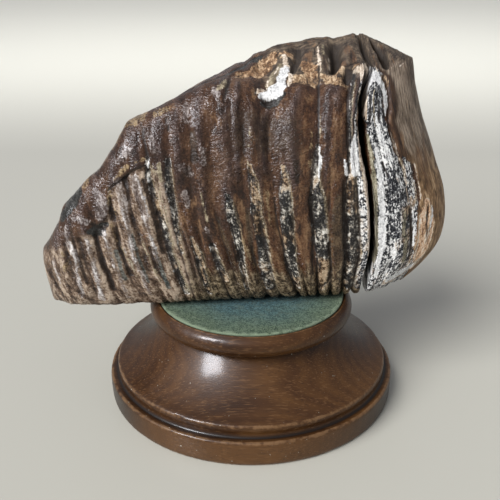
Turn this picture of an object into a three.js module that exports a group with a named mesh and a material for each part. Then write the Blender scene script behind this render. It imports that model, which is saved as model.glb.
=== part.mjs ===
// Fossil mammoth cheek tooth standing on a turned hardwood base with a round baize pad.
// Millimetres, +Z up.  The origin is the middle of the base's underside; the tooth's long axis
// runs along X and its outer flank faces -Y.

import * as THREE from 'three';
import { mergeVertices } from 'three/addons/utils/BufferGeometryUtils.js';

// ---- turned base ------------------------------------------------------------------------------
const footRadius = 80;          // lowest disc
const footHeight = 13.9;
const wornBevel = 1.2;          // bruised bottom corner
const stepGroove = 75.8;        // bottom of the groove between the disc and the band
const bandRadius = 75.4;        // moulded band above the groove
const bandTop = 20.4;
const neckRadius = 47.4;        // narrowest place, under the roll
const neckHeight = 42.6;
const rollRadius = 56;          // fat roll that carries the pad
const rollMiddle = 50.2;
const rollHalfHeight = 6.2;
const turningSteps = 64;        // facets round a turned piece

// ---- baize pad --------------------------------------------------------------------------------
const padRadius = 51.1;
const padThickness = 1.5;
const padTop = 57;
const touchGap = 0.3;           // clearance kept between pieces that touch

// ---- tooth: one row per plate -----------------------------------------------------------------
// foot, waist, chest and head are the x of the line between two plates at the four
// lineHeights; front and back are the heights of the tooth's upper edge on its two flanks.
const lineHeights = [60, 85, 115, 160];
const firstPlate = -1;
const plates = [
  { foot: -104, waist: -110, chest: -107, head: -104, front: 87, back: 87 },
  { foot: -90.5, waist: -95.5, chest: -98, head: -101, front: 108, back: 101 },
  { foot: -82.5, waist: -87, chest: -91, head: -96, front: 118.5, back: 110 },
  { foot: -72, waist: -78.5, chest: -83, head: -90, front: 128.5, back: 118 },
  { foot: -61, waist: -68, chest: -73, head: -82, front: 137, back: 126 },
  { foot: -49, waist: -57.5, chest: -63.5, head: -70, front: 148, back: 136 },
  { foot: -38.5, waist: -46, chest: -52, head: -57, front: 159.5, back: 148 },
  { foot: -28, waist: -33, chest: -40.5, head: -43.5, front: 164, back: 154 },
  { foot: -16, waist: -23, chest: -28, head: -31, front: 168, back: 161 },
  { foot: -4.5, waist: -11.5, chest: -18, head: -20, front: 171.5, back: 169.5 },
  { foot: 8.5, waist: 1.5, chest: -2.5, head: -5, front: 173, back: 181 },
  { foot: 25, waist: 17, chest: 11, head: 7.5, front: 167, back: 190 },
  { foot: 36, waist: 32.5, chest: 30.5, head: 30, front: 166.5, back: 197 },
  { foot: 49, waist: 49, chest: 47, head: 46, front: 169, back: 198 },
  { foot: 62, waist: 63, chest: 60.5, head: 53.5, front: 173, back: 198.5 },
  { foot: 76, waist: 83, chest: 80, head: 67, front: 177, back: 194 },
  { foot: 91, waist: 106, chest: 104.5, head: 88, front: 181.5, back: 181.5 },
];
const lastPlate = firstPlate + plates.length - 1;

// Slower changes along the tooth: plate number, then millimetres.
const flankLine = [[-1, -27], [1, -30], [6, -27.5], [11, -23.5], [13, -20.5], [14, -16], [15, -10]];
const halfThickness = [[-1, 17], [1, 25], [4, 31], [8, 37], [12, 40], [14, 38], [15, 34]];
const soleRise = [[-1, 0.3], [0, 0], [12.5, 0], [14, 2.5], [15, 9]];

const toothSole = padTop + touchGap;
const flankBelly = 2.5;         // how far the middle of the flank stands proud of its foot
const plateSkew = 0.05;         // plates run slightly aslant from flank to flank
const crownSquareness = 4.2;    // rounding of the section above and below its middle
const soleSquareness = 8;

// ---- grooves, furrows and the open split ------------------------------------------------------
const grooveDepth = { narrowPlates: 1.7, widePlates: 2.4 };
const grooveWidth = 0.1;        // in plates
const bandGroove = { at: 0.48, width: 0.09, share: 0.6 };
const soleNotch = 1.2;          // how much deeper the grooves bite at the sole
const split = { plate: 12.97, half: 0.16, wall: 0.035, flank: 22, crown: 6, sole: 12 };
const furrows = [
  { plate: 9.6, width: 0.3, depth: 2 },
  { plate: 10.6, width: 0.24, depth: 5 },
  { plate: 11.75, width: 0.22, depth: 6.5 },
  { plate: 13.6, width: 0.36, depth: 9 },
];
const ringSteps = 32;           // points round one section of the tooth

// A smooth curve through [position, value] points, straight beyond its ends.
function curveThrough(points, at) {
  const last = points.length - 1;
  const slope = (i) => {
    const a = points[Math.max(i - 1, 0)];
    const b = points[Math.min(i + 1, last)];
    return (b[1] - a[1]) / (b[0] - a[0]);
  };
  if (at <= points[0][0]) return points[0][1] + slope(0) * (at - points[0][0]);
  if (at >= points[last][0]) return points[last][1] + slope(last) * (at - points[last][0]);
  let i = 0;
  while (at > points[i + 1][0]) i += 1;
  const width = points[i + 1][0] - points[i][0];
  const t = (at - points[i][0]) / width;
  return points[i][1] * (1 + 2 * t) * (1 - t) ** 2 + slope(i) * width * t * (1 - t) ** 2
    + points[i + 1][1] * t * t * (3 - 2 * t) - slope(i + 1) * width * t * t * (1 - t);
}

const alongPlates = (key, plate) =>
  curveThrough(plates.map((row, i) => [firstPlate + i, row[key]]), plate);

// The line that a plate's section follows, as x for any height.
function plateLine(plate) {
  const points = ['foot', 'waist', 'chest', 'head'].map(
    (key, i) => [lineHeights[i], alongPlates(key, plate)]);
  return (height) => curveThrough(points, height);
}

// 1 along the body, falling to 0 at the two ends in a rounded corner.
function endRounding(plate) {
  const corner = (start, length, power) => {
    const reach = THREE.MathUtils.clamp((plate - start) / length, 0, 1);
    return (1 - reach ** power) ** (1 / power);
  };
  return Math.min(corner(0.5, -1.5, 2.6), corner(13.4, 1.6, 2.2));
}

const bump = (distance, width) => Math.exp(-((distance / width) ** 2));

// Depth of the grooves between plates and between a plate's two bands.
function grooveCut(plate, sole) {
  const within = plate - Math.floor(plate);
  const widePlates = THREE.MathUtils.smoothstep(plate, 6, 12);
  const depth = THREE.MathUtils.lerp(grooveDepth.narrowPlates, grooveDepth.widePlates, widePlates);
  const shape = bump(Math.min(within, 1 - within), grooveWidth)
    + bandGroove.share * bump(within - bandGroove.at, bandGroove.width);
  return depth * shape * (1 + soleNotch * sole ** 3);
}

// Depth of the open split between two of the last plates: it dies away over the crown.
function splitCut(plate, across, crown, sole) {
  const wall = (split.half - Math.abs(plate - split.plate)) / split.wall;
  const onCrown = split.crown * crown ** 2 * THREE.MathUtils.smoothstep(across, -0.7, 0.6);
  const onFlank = split.flank * THREE.MathUtils.clamp(1.5 * across, 0, 1);
  const depth = Math.min(onFlank, split.flank * (1 - 0.6 * crown ** 6)) + onCrown
    + split.sole * sole ** 2;
  return THREE.MathUtils.clamp(wall, 0, 1) * Math.min(depth, split.flank);
}

// Depth of the hollows that run back over the worn crown.
function furrowCut(plate, across, crown) {
  const onCrown = THREE.MathUtils.smoothstep(crown, 0.5, 0.85);
  const beforeBackEdge = THREE.MathUtils.smoothstep(across, -1, -0.3);
  const depth = furrows.reduce((sum, f) => sum + f.depth * bump(plate - f.plate, f.width), 0);
  return onCrown * beforeBackEdge * depth;
}

// Everything about one section that doesn't change round it.
function sectionAt(plate) {
  const half = curveThrough(halfThickness, plate);
  const flank = curveThrough(flankLine, plate);
  const front = alongPlates('front', plate);
  const back = alongPlates('back', plate);
  const foot = toothSole + curveThrough(soleRise, plate);
  return {
    plate, half, flank, front, back, foot,
    middle: (foot + (front + back) / 2) / 2,
    line: plateLine(plate),
    rounding: endRounding(plate),
  };
}

// One point of a section: angle 0 is the flank at -Y, a quarter turn is the crown.
function sectionPoint(section, angle) {
  const { plate, half, flank, front, back, foot, middle, rounding } = section;
  const power = Math.sin(angle) > 0 ? crownSquareness : soleSquareness;
  const reach = (Math.abs(Math.cos(angle)) ** power + Math.abs(Math.sin(angle)) ** power)
    ** (-1 / power);
  const across = reach * Math.cos(angle);
  const rise = reach * Math.sin(angle);
  const crownHeight = front + (back - front) * (1 - across) / 2;
  const tall = rise >= 0 ? crownHeight - middle : middle - foot;
  const facing = Math.max(across, 0);
  const crown = Math.max(rise, 0);
  const sole = Math.max(-rise, 0);
  const belly = flankBelly * (Math.cos(rise * Math.PI / 2) - 1) * facing;
  const cut = rounding * (grooveCut(plate, sole) + splitCut(plate, across, crown, sole)
    + furrowCut(plate, across, crown));
  const normal = new THREE.Vector2(
    Math.sign(across) * Math.abs(across) ** (power - 1) / half,
    Math.sign(rise) * Math.abs(rise) ** (power - 1) / tall).normalize();
  const y = flank + half - (half * across + belly) * rounding + cut * normal.x;
  const z = middle + tall * rise - cut * normal.y;
  return new THREE.Vector3(section.line(z) + plateSkew * (y - flank), y, z);
}

// Where the sections stand: close together at grooves, at the split's walls and at the ends.
function sectionStations() {
  const stations = [firstPlate + 0.04, firstPlate + 0.1,
    lastPlate - 0.1, lastPlate - 0.03, lastPlate];
  for (let plate = firstPlate; plate < lastPlate; plate += 1) {
    const within = plate < 7 ? [0, 0.18, 0.5, 0.82] : [0, 0.16, 0.38, 0.48, 0.6, 0.84];
    stations.push(...within.map((part) => plate + part));
  }
  const edges = [-split.half, -split.half + split.wall, split.half - split.wall, split.half];
  const clearOfSplit = (at) => Math.abs(at - split.plate) > split.half + 0.03;
  return [...stations.filter(clearOfSplit), ...edges.map((edge) => split.plate + edge)]
    .sort((a, b) => a - b);
}

function toothGeometry() {
  const stations = sectionStations();
  const positions = [];
  for (const station of stations) {
    const section = sectionAt(station);
    for (let j = 0; j < ringSteps; j += 1) {
      positions.push(...sectionPoint(section, (j / ringSteps) * Math.PI * 2));
    }
  }
  const faces = [];
  for (let i = 0; i + 1 < stations.length; i += 1) {
    for (let j = 0; j < ringSteps; j += 1) {
      const next = (j + 1) % ringSteps;
      const a = i * ringSteps + j;
      const b = (i + 1) * ringSteps + j;
      const c = (i + 1) * ringSteps + next;
      const d = i * ringSteps + next;
      faces.push(a, b, c, a, c, d);
    }
  }
  const geometry = new THREE.BufferGeometry();
  geometry.setAttribute('position', new THREE.Float32BufferAttribute(positions, 3));
  geometry.setIndex(faces);
  return mergeVertices(geometry, 1e-3);
}

// Turn a profile of [radius, height] points about the Z axis.
function turned(profile) {
  const points = profile.map(([radius, height]) => new THREE.Vector2(radius, height));
  return new THREE.LatheGeometry(points, turningSteps).rotateX(Math.PI / 2);
}

function standGeometry() {
  const padSeat = padTop - padThickness - touchGap;
  const hollow = [];                       // concave sweep from the band up to the neck
  for (let i = 0; i <= 6; i += 1) {
    const t = i / 6;
    const radius = THREE.MathUtils.lerp(bandRadius - 2, neckRadius, t);
    hollow.push([radius - 2.5 * Math.sin(Math.PI * t),
      THREE.MathUtils.lerp(bandTop + 0.6, neckHeight, t ** 1.15)]);
  }
  const roll = [];                         // convex roll, from its underside to its rim
  for (let i = 0; i <= 7; i += 1) {
    const angle = THREE.MathUtils.degToRad(-80 + i * 20);
    roll.push([rollRadius - rollHalfHeight + rollHalfHeight * Math.cos(angle),
      rollMiddle + rollHalfHeight * Math.sin(angle)]);
  }
  return turned([
    [0, 0], [footRadius - wornBevel, 0], [footRadius, wornBevel],
    [footRadius, footHeight - 0.6], [footRadius - 0.8, footHeight],
    [stepGroove, footHeight - 0.5], [bandRadius, footHeight + 1.6],
    [bandRadius + 0.4, bandTop - 2.4], [bandRadius - 0.4, bandTop],
    ...hollow, [neckRadius + 0.4, neckHeight + 1.4],
    ...roll, [padRadius + touchGap, rollMiddle + rollHalfHeight], [padRadius + touchGap, padSeat],
    [0, padSeat],
  ]);
}

function padGeometry() {
  const underside = padTop - padThickness;
  return turned([
    [0, underside], [padRadius, underside], [padRadius, padTop - 0.4],
    [padRadius - 0.5, padTop], [0, padTop],
  ]);
}

function piece(name, geometry, color, roughness) {
  const material = new THREE.MeshStandardMaterial({ color, roughness, metalness: 0 });
  const mesh = new THREE.Mesh(geometry, material);
  mesh.name = name;
  return mesh;
}

const toothOnStand = new THREE.Group();
toothOnStand.add(piece('turned_stand', standGeometry(), '#5a3219', 0.35));
toothOnStand.add(piece('felt_pad', padGeometry(), '#4f8078', 0.95));
toothOnStand.add(piece('mammoth_tooth', toothGeometry(), '#5d4030', 0.55));

export default toothOnStand;
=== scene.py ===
import math

import bpy
import numpy as np
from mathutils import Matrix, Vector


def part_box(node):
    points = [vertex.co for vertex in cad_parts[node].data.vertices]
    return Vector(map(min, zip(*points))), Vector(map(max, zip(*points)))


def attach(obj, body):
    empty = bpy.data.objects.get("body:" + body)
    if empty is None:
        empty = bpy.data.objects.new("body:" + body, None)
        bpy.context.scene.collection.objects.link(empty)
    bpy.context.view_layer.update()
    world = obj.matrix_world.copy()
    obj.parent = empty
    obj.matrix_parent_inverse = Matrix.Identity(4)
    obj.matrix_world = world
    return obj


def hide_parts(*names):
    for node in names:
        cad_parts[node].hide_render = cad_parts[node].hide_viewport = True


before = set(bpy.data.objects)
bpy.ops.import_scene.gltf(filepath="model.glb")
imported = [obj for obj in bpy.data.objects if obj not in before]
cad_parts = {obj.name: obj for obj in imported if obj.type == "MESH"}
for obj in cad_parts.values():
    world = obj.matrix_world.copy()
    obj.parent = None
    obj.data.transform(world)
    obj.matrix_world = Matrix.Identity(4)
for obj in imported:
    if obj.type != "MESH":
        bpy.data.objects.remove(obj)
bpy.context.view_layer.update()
mm = 0.001
print("frame loaded")

# camera, first because everything is seen through it
cameraSettings = dict(
    place=(-0.0006, -0.3514, 0.2282), looksDown=22.81, lens=50.4, sensor=36, near=0.01, far=50,
)


def placed(name, data):
    # a new object in the scene
    thing = bpy.data.objects.new(name, data)
    bpy.context.collection.objects.link(thing)
    return thing


def makeCamera(settings):
    camera = placed("camera", bpy.data.cameras.new("camera"))
    camera.data.lens = settings["lens"]
    camera.data.sensor_width = settings["sensor"]
    camera.data.clip_start = settings["near"]
    camera.data.clip_end = settings["far"]
    camera.location = settings["place"]
    camera.rotation_euler = (math.radians(90 - settings["looksDown"]), 0, 0)
    bpy.context.scene.camera = camera


makeCamera(cameraSettings)
bpy.context.scene.view_settings.view_transform = "Standard"


# noise and curves
def latticeValue(cells, seed):
    # one repeatable number from -1 to 1 for each whole-number cell
    mixed = cells[0] * 374761393 + cells[1] * 668265263 + cells[2] * 1274126177 + seed * 974634777
    mixed = (mixed ^ (mixed >> 13)) & 0x7FFFFFFF
    mixed = (mixed * 1103515245 + 12345) & 0x7FFFFFFF
    mixed = (mixed ^ (mixed >> 16)) & 0x7FFFFFFF
    return mixed / 1073741823.5 - 1


def softNoise(x, y, z, seed):
    # gradient noise, about -1 to 1
    x, y, z = np.broadcast_arrays(x, y, z)
    cell = [np.floor(v).astype(np.int64) for v in (x, y, z)]
    inside = [v - c for v, c in zip((x, y, z), cell)]
    fade = [t * t * t * (t * (t * 6 - 15) + 10) for t in inside]
    total = np.zeros(x.shape)
    for corner in range(8):
        step = [corner & 1, corner >> 1 & 1, corner >> 2 & 1]
        here = [c + s for c, s in zip(cell, step)]
        slope = sum(latticeValue(here, seed * 3 + axis) * (inside[axis] - step[axis]) for axis in range(3))
        weight = 1
        for axis in range(3):
            weight = weight * (fade[axis] if step[axis] else 1 - fade[axis])
        total += weight * slope
    return total * 1.4


def cloud(x, y, z, seed, octaves=4):
    total, strength, most = 0, 1, 0
    for octave in range(octaves):
        scale = 2 ** octave
        total = total + strength * softNoise(x * scale, y * scale, z * scale, seed + 11 * octave)
        most += strength
        strength /= 2
    return total / most


def smooth(value, low, high):
    t = np.clip((value - low) / (high - low), 0, 1)
    return t * t * (3 - 2 * t)


def span(value, low, lowEnd, high, highEnd):
    # rises from low to lowEnd and falls from high to highEnd
    return smooth(value, low, lowEnd) * (1 - smooth(value, high, highEnd))


def bump(distance, width):
    return np.exp(-(distance / width) ** 2)


def read(table, key, at):
    # a row of a settings dictionary, between the places listed beside it
    return np.interp(at, table[key + "At"], table[key])


def running(steps):
    return np.concatenate([[0], np.cumsum(steps)])


def evenly(values, lengths, count):
    # count of the values, spaced evenly by the running length beside them
    return np.interp(np.linspace(0, lengths[-1], count), lengths, values)


def curveThrough(places, values, at):
    # smooth curve through the values, straight beyond its ends; values may be arrays shaped like at
    last = len(places) - 1
    slopes = []
    for i in range(last + 1):
        a, b = max(i - 1, 0), min(i + 1, last)
        slopes.append((values[b] - values[a]) / (places[b] - places[a]))
    result = values[0] + slopes[0] * (at - places[0])
    for i in range(last):
        width = places[i + 1] - places[i]
        t = (at - places[i]) / width
        piece = (values[i] * (1 + 2 * t) * (1 - t) ** 2 + slopes[i] * width * t * (1 - t) ** 2
                 + values[i + 1] * t * t * (3 - 2 * t) - slopes[i + 1] * width * t * t * (1 - t))
        result = np.where(at >= places[i], piece, result)
    beyond = values[last] + slopes[last] * (at - places[last])
    return np.where(at > places[last], beyond, result)


# meshes
def meshFromArrays(name, points, faces, material, fields=()):
    mesh = bpy.data.meshes.new(name)
    points, faces = np.asarray(points, np.float32), np.asarray(faces, np.int32)
    mesh.vertices.add(len(points))
    mesh.vertices.foreach_set("co", points.ravel())
    mesh.loops.add(faces.size)
    mesh.loops.foreach_set("vertex_index", faces.ravel())
    mesh.polygons.add(len(faces))
    mesh.polygons.foreach_set("loop_start", np.arange(0, faces.size, faces.shape[1], dtype=np.int32))
    mesh.update(calc_edges=True)
    mesh.validate()
    mesh.polygons.foreach_set("use_smooth", np.ones(len(mesh.polygons), bool))
    for key, values in dict(fields).items():
        isVector = np.ndim(values) == 2
        layer = mesh.attributes.new(key, "FLOAT_VECTOR" if isVector else "FLOAT", "POINT")
        layer.data.foreach_set("vector" if isVector else "value", np.asarray(values, np.float32).ravel())
    mesh.materials.append(material)
    return placed(name, mesh)


def gridFaces(rings, spokes):
    # quads between neighbouring rings of points
    ring, j = np.meshgrid(np.arange(rings - 1), np.arange(spokes), indexing="ij")
    k, here, beyond = (j + 1) % spokes, ring * spokes, (ring + 1) * spokes
    return np.stack([here + j, beyond + j, beyond + k, here + k], -1).reshape(-1, 4)


def turnedPiece(name, x, y, z, ends, rising, material, fields=()):
    # rings round the upright axis, closed by a point at the height of either end; rising: lowest ring first
    rings, spokes = x.shape
    points = np.vstack([np.stack([x, y, z], -1).reshape(-1, 3), *([0, 0, end] for end in ends)]) * mm
    walls = gridFaces(rings, spokes)
    j = np.arange(spokes)
    k, centre, last = (j + 1) % spokes, 0 * j + rings * spokes, (rings - 1) * spokes
    triangles = np.vstack([walls[:, [0, 1, 2]], walls[:, [0, 2, 3]], np.stack([centre, j, k], 1),
                           np.stack([centre + 1, last + k, last + j], 1)])
    fields = {key: np.append(values, [0, 0]) for key, values in dict(fields).items()}
    return meshFromArrays(name, points, triangles[:, ::-1] if rising else triangles, material, fields)


# shader nodes
class Wire:
    # what comes out of a node; sums and products of wires become math nodes
    def __init__(self, look, socket):
        self.look, self.socket = look, socket

    def calc(self, operation, other, clamp=False):
        return self.look.add("Math", {0: self, 1: other}, operation=operation, use_clamp=clamp)

    def __add__(self, other):
        return self.calc("ADD", other)

    def __sub__(self, other):
        return self.calc("SUBTRACT", other)

    def __mul__(self, other):
        return self.calc("MULTIPLY", other)

    def between(self, low, high, first=0.0, second=1.0):
        sockets = {"Value": self, "From Min": low, "From Max": high, "To Min": first, "To Max": second}
        return self.look.add("MapRange", sockets, interpolation_type="SMOOTHSTEP")

    def ramp(self, stops):
        # a stop is its place on the ramp, then its colour
        wire = self.look.add("ValToRGB", {"Fac": self}, "Color")
        points = wire.socket.node.color_ramp.elements
        while len(points) < len(stops):
            points.new(1)
        for point, (place, colour) in zip(points, stops):
            point.position = place
            point.color = (*colour, 1)
        return wire


class Look:
    # a material, and the nodes that its colours are mixed with
    def __init__(self, name, base=None):
        self.material = bpy.data.materials.new(name)
        self.material.use_nodes = True
        self.tree, self.base = self.material.node_tree, base
        self.tree.nodes.clear()
        self.shader = self.tree.nodes.new("ShaderNodeBsdfPrincipled")
        output = self.tree.nodes.new("ShaderNodeOutputMaterial")
        self.tree.links.new(self.shader.outputs[0], output.inputs[0])

    def feed(self, socket, value):
        if isinstance(value, Wire):
            self.tree.links.new(value.socket, socket)
        else:
            socket.default_value = (*value, 1) if socket.type == "RGBA" else value

    def add(self, kind, sockets=(), out=0, **properties):
        node = self.tree.nodes.new("ShaderNode" + kind)
        for key, value in properties.items():
            setattr(node, key, value)
        for key, value in dict(sockets).items():
            self.feed(node.inputs[key], value)
        return Wire(self, node.outputs[out])

    def field(self, name, out="Fac"):
        return self.add("Attribute", (), out, attribute_name=name)

    def stretched(self, vector, scale):
        return self.add("Mapping", {"Vector": vector, "Scale": scale})

    def noise(self, vector, scale, detail=3.0, roughness=0.55, distortion=0.0, stretch=None):
        if stretch:
            vector = self.stretched(vector, stretch)
        sockets = {"Vector": vector, "Scale": scale, "Detail": detail,
                   "Roughness": roughness, "Distortion": distortion}
        return self.add("TexNoise", sockets, "Fac")

    def relief(self, height, depth, strength=1.0, under=None):
        sockets = {"Height": height, "Distance": depth, "Strength": strength}
        if under:
            sockets["Normal"] = under
        return self.add("Bump", sockets)

    def mix(self, share, first, second):
        return self.add("Mix", {0: share, 6: first, 7: second}, 2, data_type="RGBA")

    def paint(self, share, colour):
        self.base = self.mix(share, self.base, colour)

    def layer(self, wire, low, high, strength, colour):
        self.paint(wire.between(low, high) * strength, colour)

    def finished(self, sockets):
        for key, value in {"Base Color": self.base, **sockets}.items():
            self.feed(self.shader.inputs[key], value)
        return self.material


# turned stand
standShape = dict(
    footHeight=13.9, stepGroove=75.8, bandRadius=75.4, bandTop=20.4,
    neckRadius=47.4, neckHeight=42.6, rollRadius=56, rollMiddle=50.2, rollHalf=6.2, seatGap=0.3,
    wornBevel=1.2, cornerCut=0.22, stepLength=0.6, turns=280,
    # how strong bruises are, how far from the axis an edge gets them, and how far from the axis the painted
    # shade begins
    bruises=1.05, bruisedFrom=52, sharpBend=0.35, shadedFrom=45,
)
woodLook = dict(
    grain=((0.30, (0.022, 0.0078, 0.002)), (0.5, (0.045, 0.0172, 0.004)), (0.70, (0.08, 0.034, 0.0085))),
    # foot: paler front of the lowest disc, partly rubbed wear and partly painted light; the dark colour after
    # it is painted shade for the groove, the neck and the disc's sides and back
    foot=(0.13, 0.06, 0.02), paintedShade=(0.008, 0.0037, 0.0017),
    # layers over the grain: where they start and are whole, how strong they are, their colour
    fleck=(0.55, 0.68, 0.4, (0.16, 0.082, 0.034)), pore=(0.6, 0.7, 0.5, (0.016, 0.007, 0.003)),
    rubbed=(0.95, 1.35, 0.5, (0.22, 0.125, 0.06)), dust=(0.765, 0.8, 0.7, (0.5, 0.48, 0.42)),
    varnish={"Specular IOR Level": 0.22, "Coat Weight": 0.26, "Coat Roughness": 0.17},
)


def roundedProfile(corners, cut, stepLength):
    # cuts the corners off a chain of [radius, height] points twice, then spaces its points evenly
    corners = np.array(corners, float)
    for _ in range(2):
        kept = [corners[0]]
        for a, b in zip(corners[:-1], corners[1:]):
            kept += [a + (b - a) * cut, b - (b - a) * cut]
        corners = np.array(kept + [corners[-1]])
    lengths = running(np.hypot(*np.diff(corners, axis=0).T))
    count = int(lengths[-1] / stepLength)
    return np.stack([evenly(corners[:, i], lengths, count) for i in (0, 1)], 1)


def standProfile(shape):
    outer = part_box("turned_stand")[1][0] / mm
    padLow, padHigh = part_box("felt_pad")
    seatRadius, seat = padHigh[0] / mm + shape["seatGap"], padLow[2] / mm - shape["seatGap"]
    bevel, foot, step = shape["wornBevel"], shape["footHeight"], shape["stepGroove"]
    band, bandTop = shape["bandRadius"], shape["bandTop"]
    neck, neckHeight = shape["neckRadius"], shape["neckHeight"]
    rollMiddle, rollHalf = shape["rollMiddle"], shape["rollHalf"]
    t = np.linspace(0, 1, 15)
    sweep = np.stack([band - 2 + (neck - band + 2) * t - 2.5 * np.sin(math.pi * t),
                      bandTop + 0.6 + (neckHeight - bandTop - 0.6) * t ** 1.15], 1)
    turn = np.radians(np.linspace(-80, 60, 15))
    roll = np.stack([shape["rollRadius"] - rollHalf * (1 - np.cos(turn)),
                     rollMiddle + rollHalf * np.sin(turn)], 1)
    return roundedProfile([
        [0, 0], [outer - 2 * bevel, 0], [outer - bevel, 0.1], [outer - 0.2, bevel + 0.6],
        [outer, foot * 0.5], [outer, foot - 0.9], [outer - 0.9, foot], [step + 0.6, foot - 0.2],
        [step, foot + 0.3], [band - 0.2, foot + 1.8], [band + 0.4, bandTop - 2.4],
        [band + 0.1, bandTop - 0.5], [band - 0.8, bandTop + 0.1], *sweep[1:],
        [neck + 0.1, neckHeight + 0.9], [neck + 1.2, neckHeight + 1.5], *roll,
        [seatRadius + 0.6, rollMiddle + rollHalf], [seatRadius, seat + 0.5], [seatRadius, seat], [0, seat],
    ], shape["cornerCut"], shape["stepLength"])


def makeStand(shape, material):
    profile = standProfile(shape)
    path = profile[1:-1]
    turn = np.linspace(0, 2 * math.pi, shape["turns"], endpoint=False)
    radius, z = path[:, :1], path[:, 1:] + 0 * turn
    x, y = radius * np.cos(turn), radius * np.sin(turn)
    # small bruises: the most on the sharp outer edges, hardly any on the sweep
    step = np.diff(path, axis=0)
    heading = np.unwrap(np.arctan2(step[:, 1], step[:, 0]))
    bend = np.pad(np.clip(np.diff(heading), 0, shape["sharpBend"]) / shape["sharpBend"], 1)
    proud = np.convolve(bend, np.ones(3) / 2, "same").clip(0, 1)[:, None] * (radius > shape["bruisedFrom"])
    dents = np.clip(cloud(x / 5, y / 5, z / 5, 5) - 0.12, 0, 1) * proud * shape["bruises"]
    lathe = cloud(x / 60, y / 60, z / 30, 8, 2) * 0.12
    shrink = 1 - (dents + np.abs(lathe)) / np.maximum(radius, 20)
    x, y = x * shrink, y * shrink
    wear = proud * (0.75 + 0.5 * cloud(x / 9, y / 9, z / 9, 21))
    # painted shade in the groove, at the neck and round the sides and back of the lowest disc; its front is
    # painted paler, partly rubbed wear and partly painted light
    foot = shape["footHeight"]
    rubbedAndLitFront = 0.05 + 0.95 * smooth(-y, 30, 76)
    disc = smooth(foot - 0.6 - z, 0, 1) * (radius > 60)
    paintedShade = 1.15 * bump(z - foot - 0.1, 1.0) * smooth(-radius, -78.0, -76.3)
    paintedShade = np.maximum(paintedShade + bump(z - shape["neckHeight"] - 0.3, 0.9), 0.95 * disc * (1 - rubbedAndLitFront))
    fields = dict(wear=wear, paintedShade=paintedShade * (radius > shape["shadedFrom"]), foot=disc * rubbedAndLitFront)
    piece = turnedPiece("stand_turning", x, y, z, profile[[0, -1], 1], True, material, fields)
    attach(piece, "root")
    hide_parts("turned_stand")


def makeWood(wood):
    look = Look("varnished_beech")
    place = look.add("TexCoord", (), "Object")
    # the grain runs left to right through the block; its rings lie round an axis below the stand
    rings = look.add("TexWave", {"Vector": look.stretched(place, (6, 60, 75)), "Scale": 1.1,
                                 "Distortion": 5.0, "Detail": 3.0, "Detail Scale": 1.2},
                     "Fac", wave_type="RINGS", rings_direction="X")
    flecks = look.noise(place, 1.0, 2.0, 0.5, stretch=(150, 1500, 1500))
    pores = look.noise(place, 1.0, 1.0, 0.4, stretch=(60, 2600, 2600))
    cloudy = look.noise(place, 22.0)
    look.base = (rings * 0.10 + cloudy * 0.90).ramp(wood["grain"])
    # paler front of the lowest disc: partly rubbed wear, partly painted light
    look.paint(look.field("foot") * 0.5, wood["foot"])
    look.layer(flecks, *wood["fleck"])
    look.layer(pores, *wood["pore"])
    look.layer(look.field("wear") + look.noise(place, 420.0, 2.0) * 0.9, *wood["rubbed"])
    look.layer(look.noise(place, 700.0, 1.0), *wood["dust"])
    # painted shade in the groove, at the neck and round the sides and back of the lowest disc
    look.paint(look.field("paintedShade").calc("MULTIPLY", 0.9, True), wood["paintedShade"])
    grooves = look.relief(flecks + pores * -0.6, 0.00012, 0.5)
    uneven = cloudy.between(0.3, 0.7, 0.42, 0.52)
    return look.finished({"Roughness": uneven, "Normal": grooves, **wood["varnish"]})


makeStand(standShape, makeWood(woodLook))
print("stand turned")

# baize pad
padShape = dict(
    turns=240, rings=60, pile=0.18, cutEdge=0.9, ragged=0.28,
    fibres=5200, fibreLength=0.9, fibreWidth=0.045, fibreLift=0.12,
)
baizeLook = dict(
    middle=((0.41, (0.004, 0.023, 0.031)), (0.6, (0.05, 0.122, 0.146))),
    rim=((0.41, (0.015, 0.033, 0.018)), (0.6, (0.12, 0.165, 0.104))), fibre=(0.3, 0.36, 0.26),
    # layers as on the wood; the edge is measured in metres from the middle
    blotch=(0.45, 0.75, 0.35, (0.1, 0.135, 0.105)), edge=(0.0488, 0.051, 0.5, (0.27, 0.34, 0.24)),
    cloth={"Roughness": 0.95, "Specular IOR Level": 0.2, "Sheen Weight": 0.15, "Sheen Roughness": 0.5,
           "Sheen Tint": (0.75, 0.9, 0.8)},
)


def makePad(shape, material):
    low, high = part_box("felt_pad")
    radius, bottom, top = high[0] / mm, low[2] / mm, high[2] / mm
    reach = np.sqrt(np.linspace(0.02, 1, shape["rings"]))
    edgeRadius, edgeHeight = [-0.4, -0.05, 0, -0.1], [top - 0.1, top - 0.45, (top + bottom) / 2, bottom]
    ringRadius = np.append(reach * (radius - shape["cutEdge"]), radius + np.array(edgeRadius))[:, None]
    ringHeight = np.append(reach * 0 + top, edgeHeight)[:, None]
    turn = np.linspace(0, 2 * math.pi, shape["turns"], endpoint=False)
    ragged = cloud(np.cos(turn) * 14, np.sin(turn) * 14, 0 * turn, 31, 3) * shape["ragged"]
    ringRadius = ringRadius * (1 - np.abs(ragged * smooth(ringRadius, radius - 3, radius)) / radius)
    x, y = ringRadius * np.cos(turn), ringRadius * np.sin(turn)
    lift = -shape["pile"] * (0.5 + 0.5 * cloud(x / 1.6, y / 1.6, 0 * x, 33, 3))
    z = ringHeight + lift * (ringHeight > bottom + 0.2)
    piece = turnedPiece("baize_round", x, y, z, (top - 0.1, bottom), False, material)
    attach(piece, "root")
    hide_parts("felt_pad")
    return piece, radius, top


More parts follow.
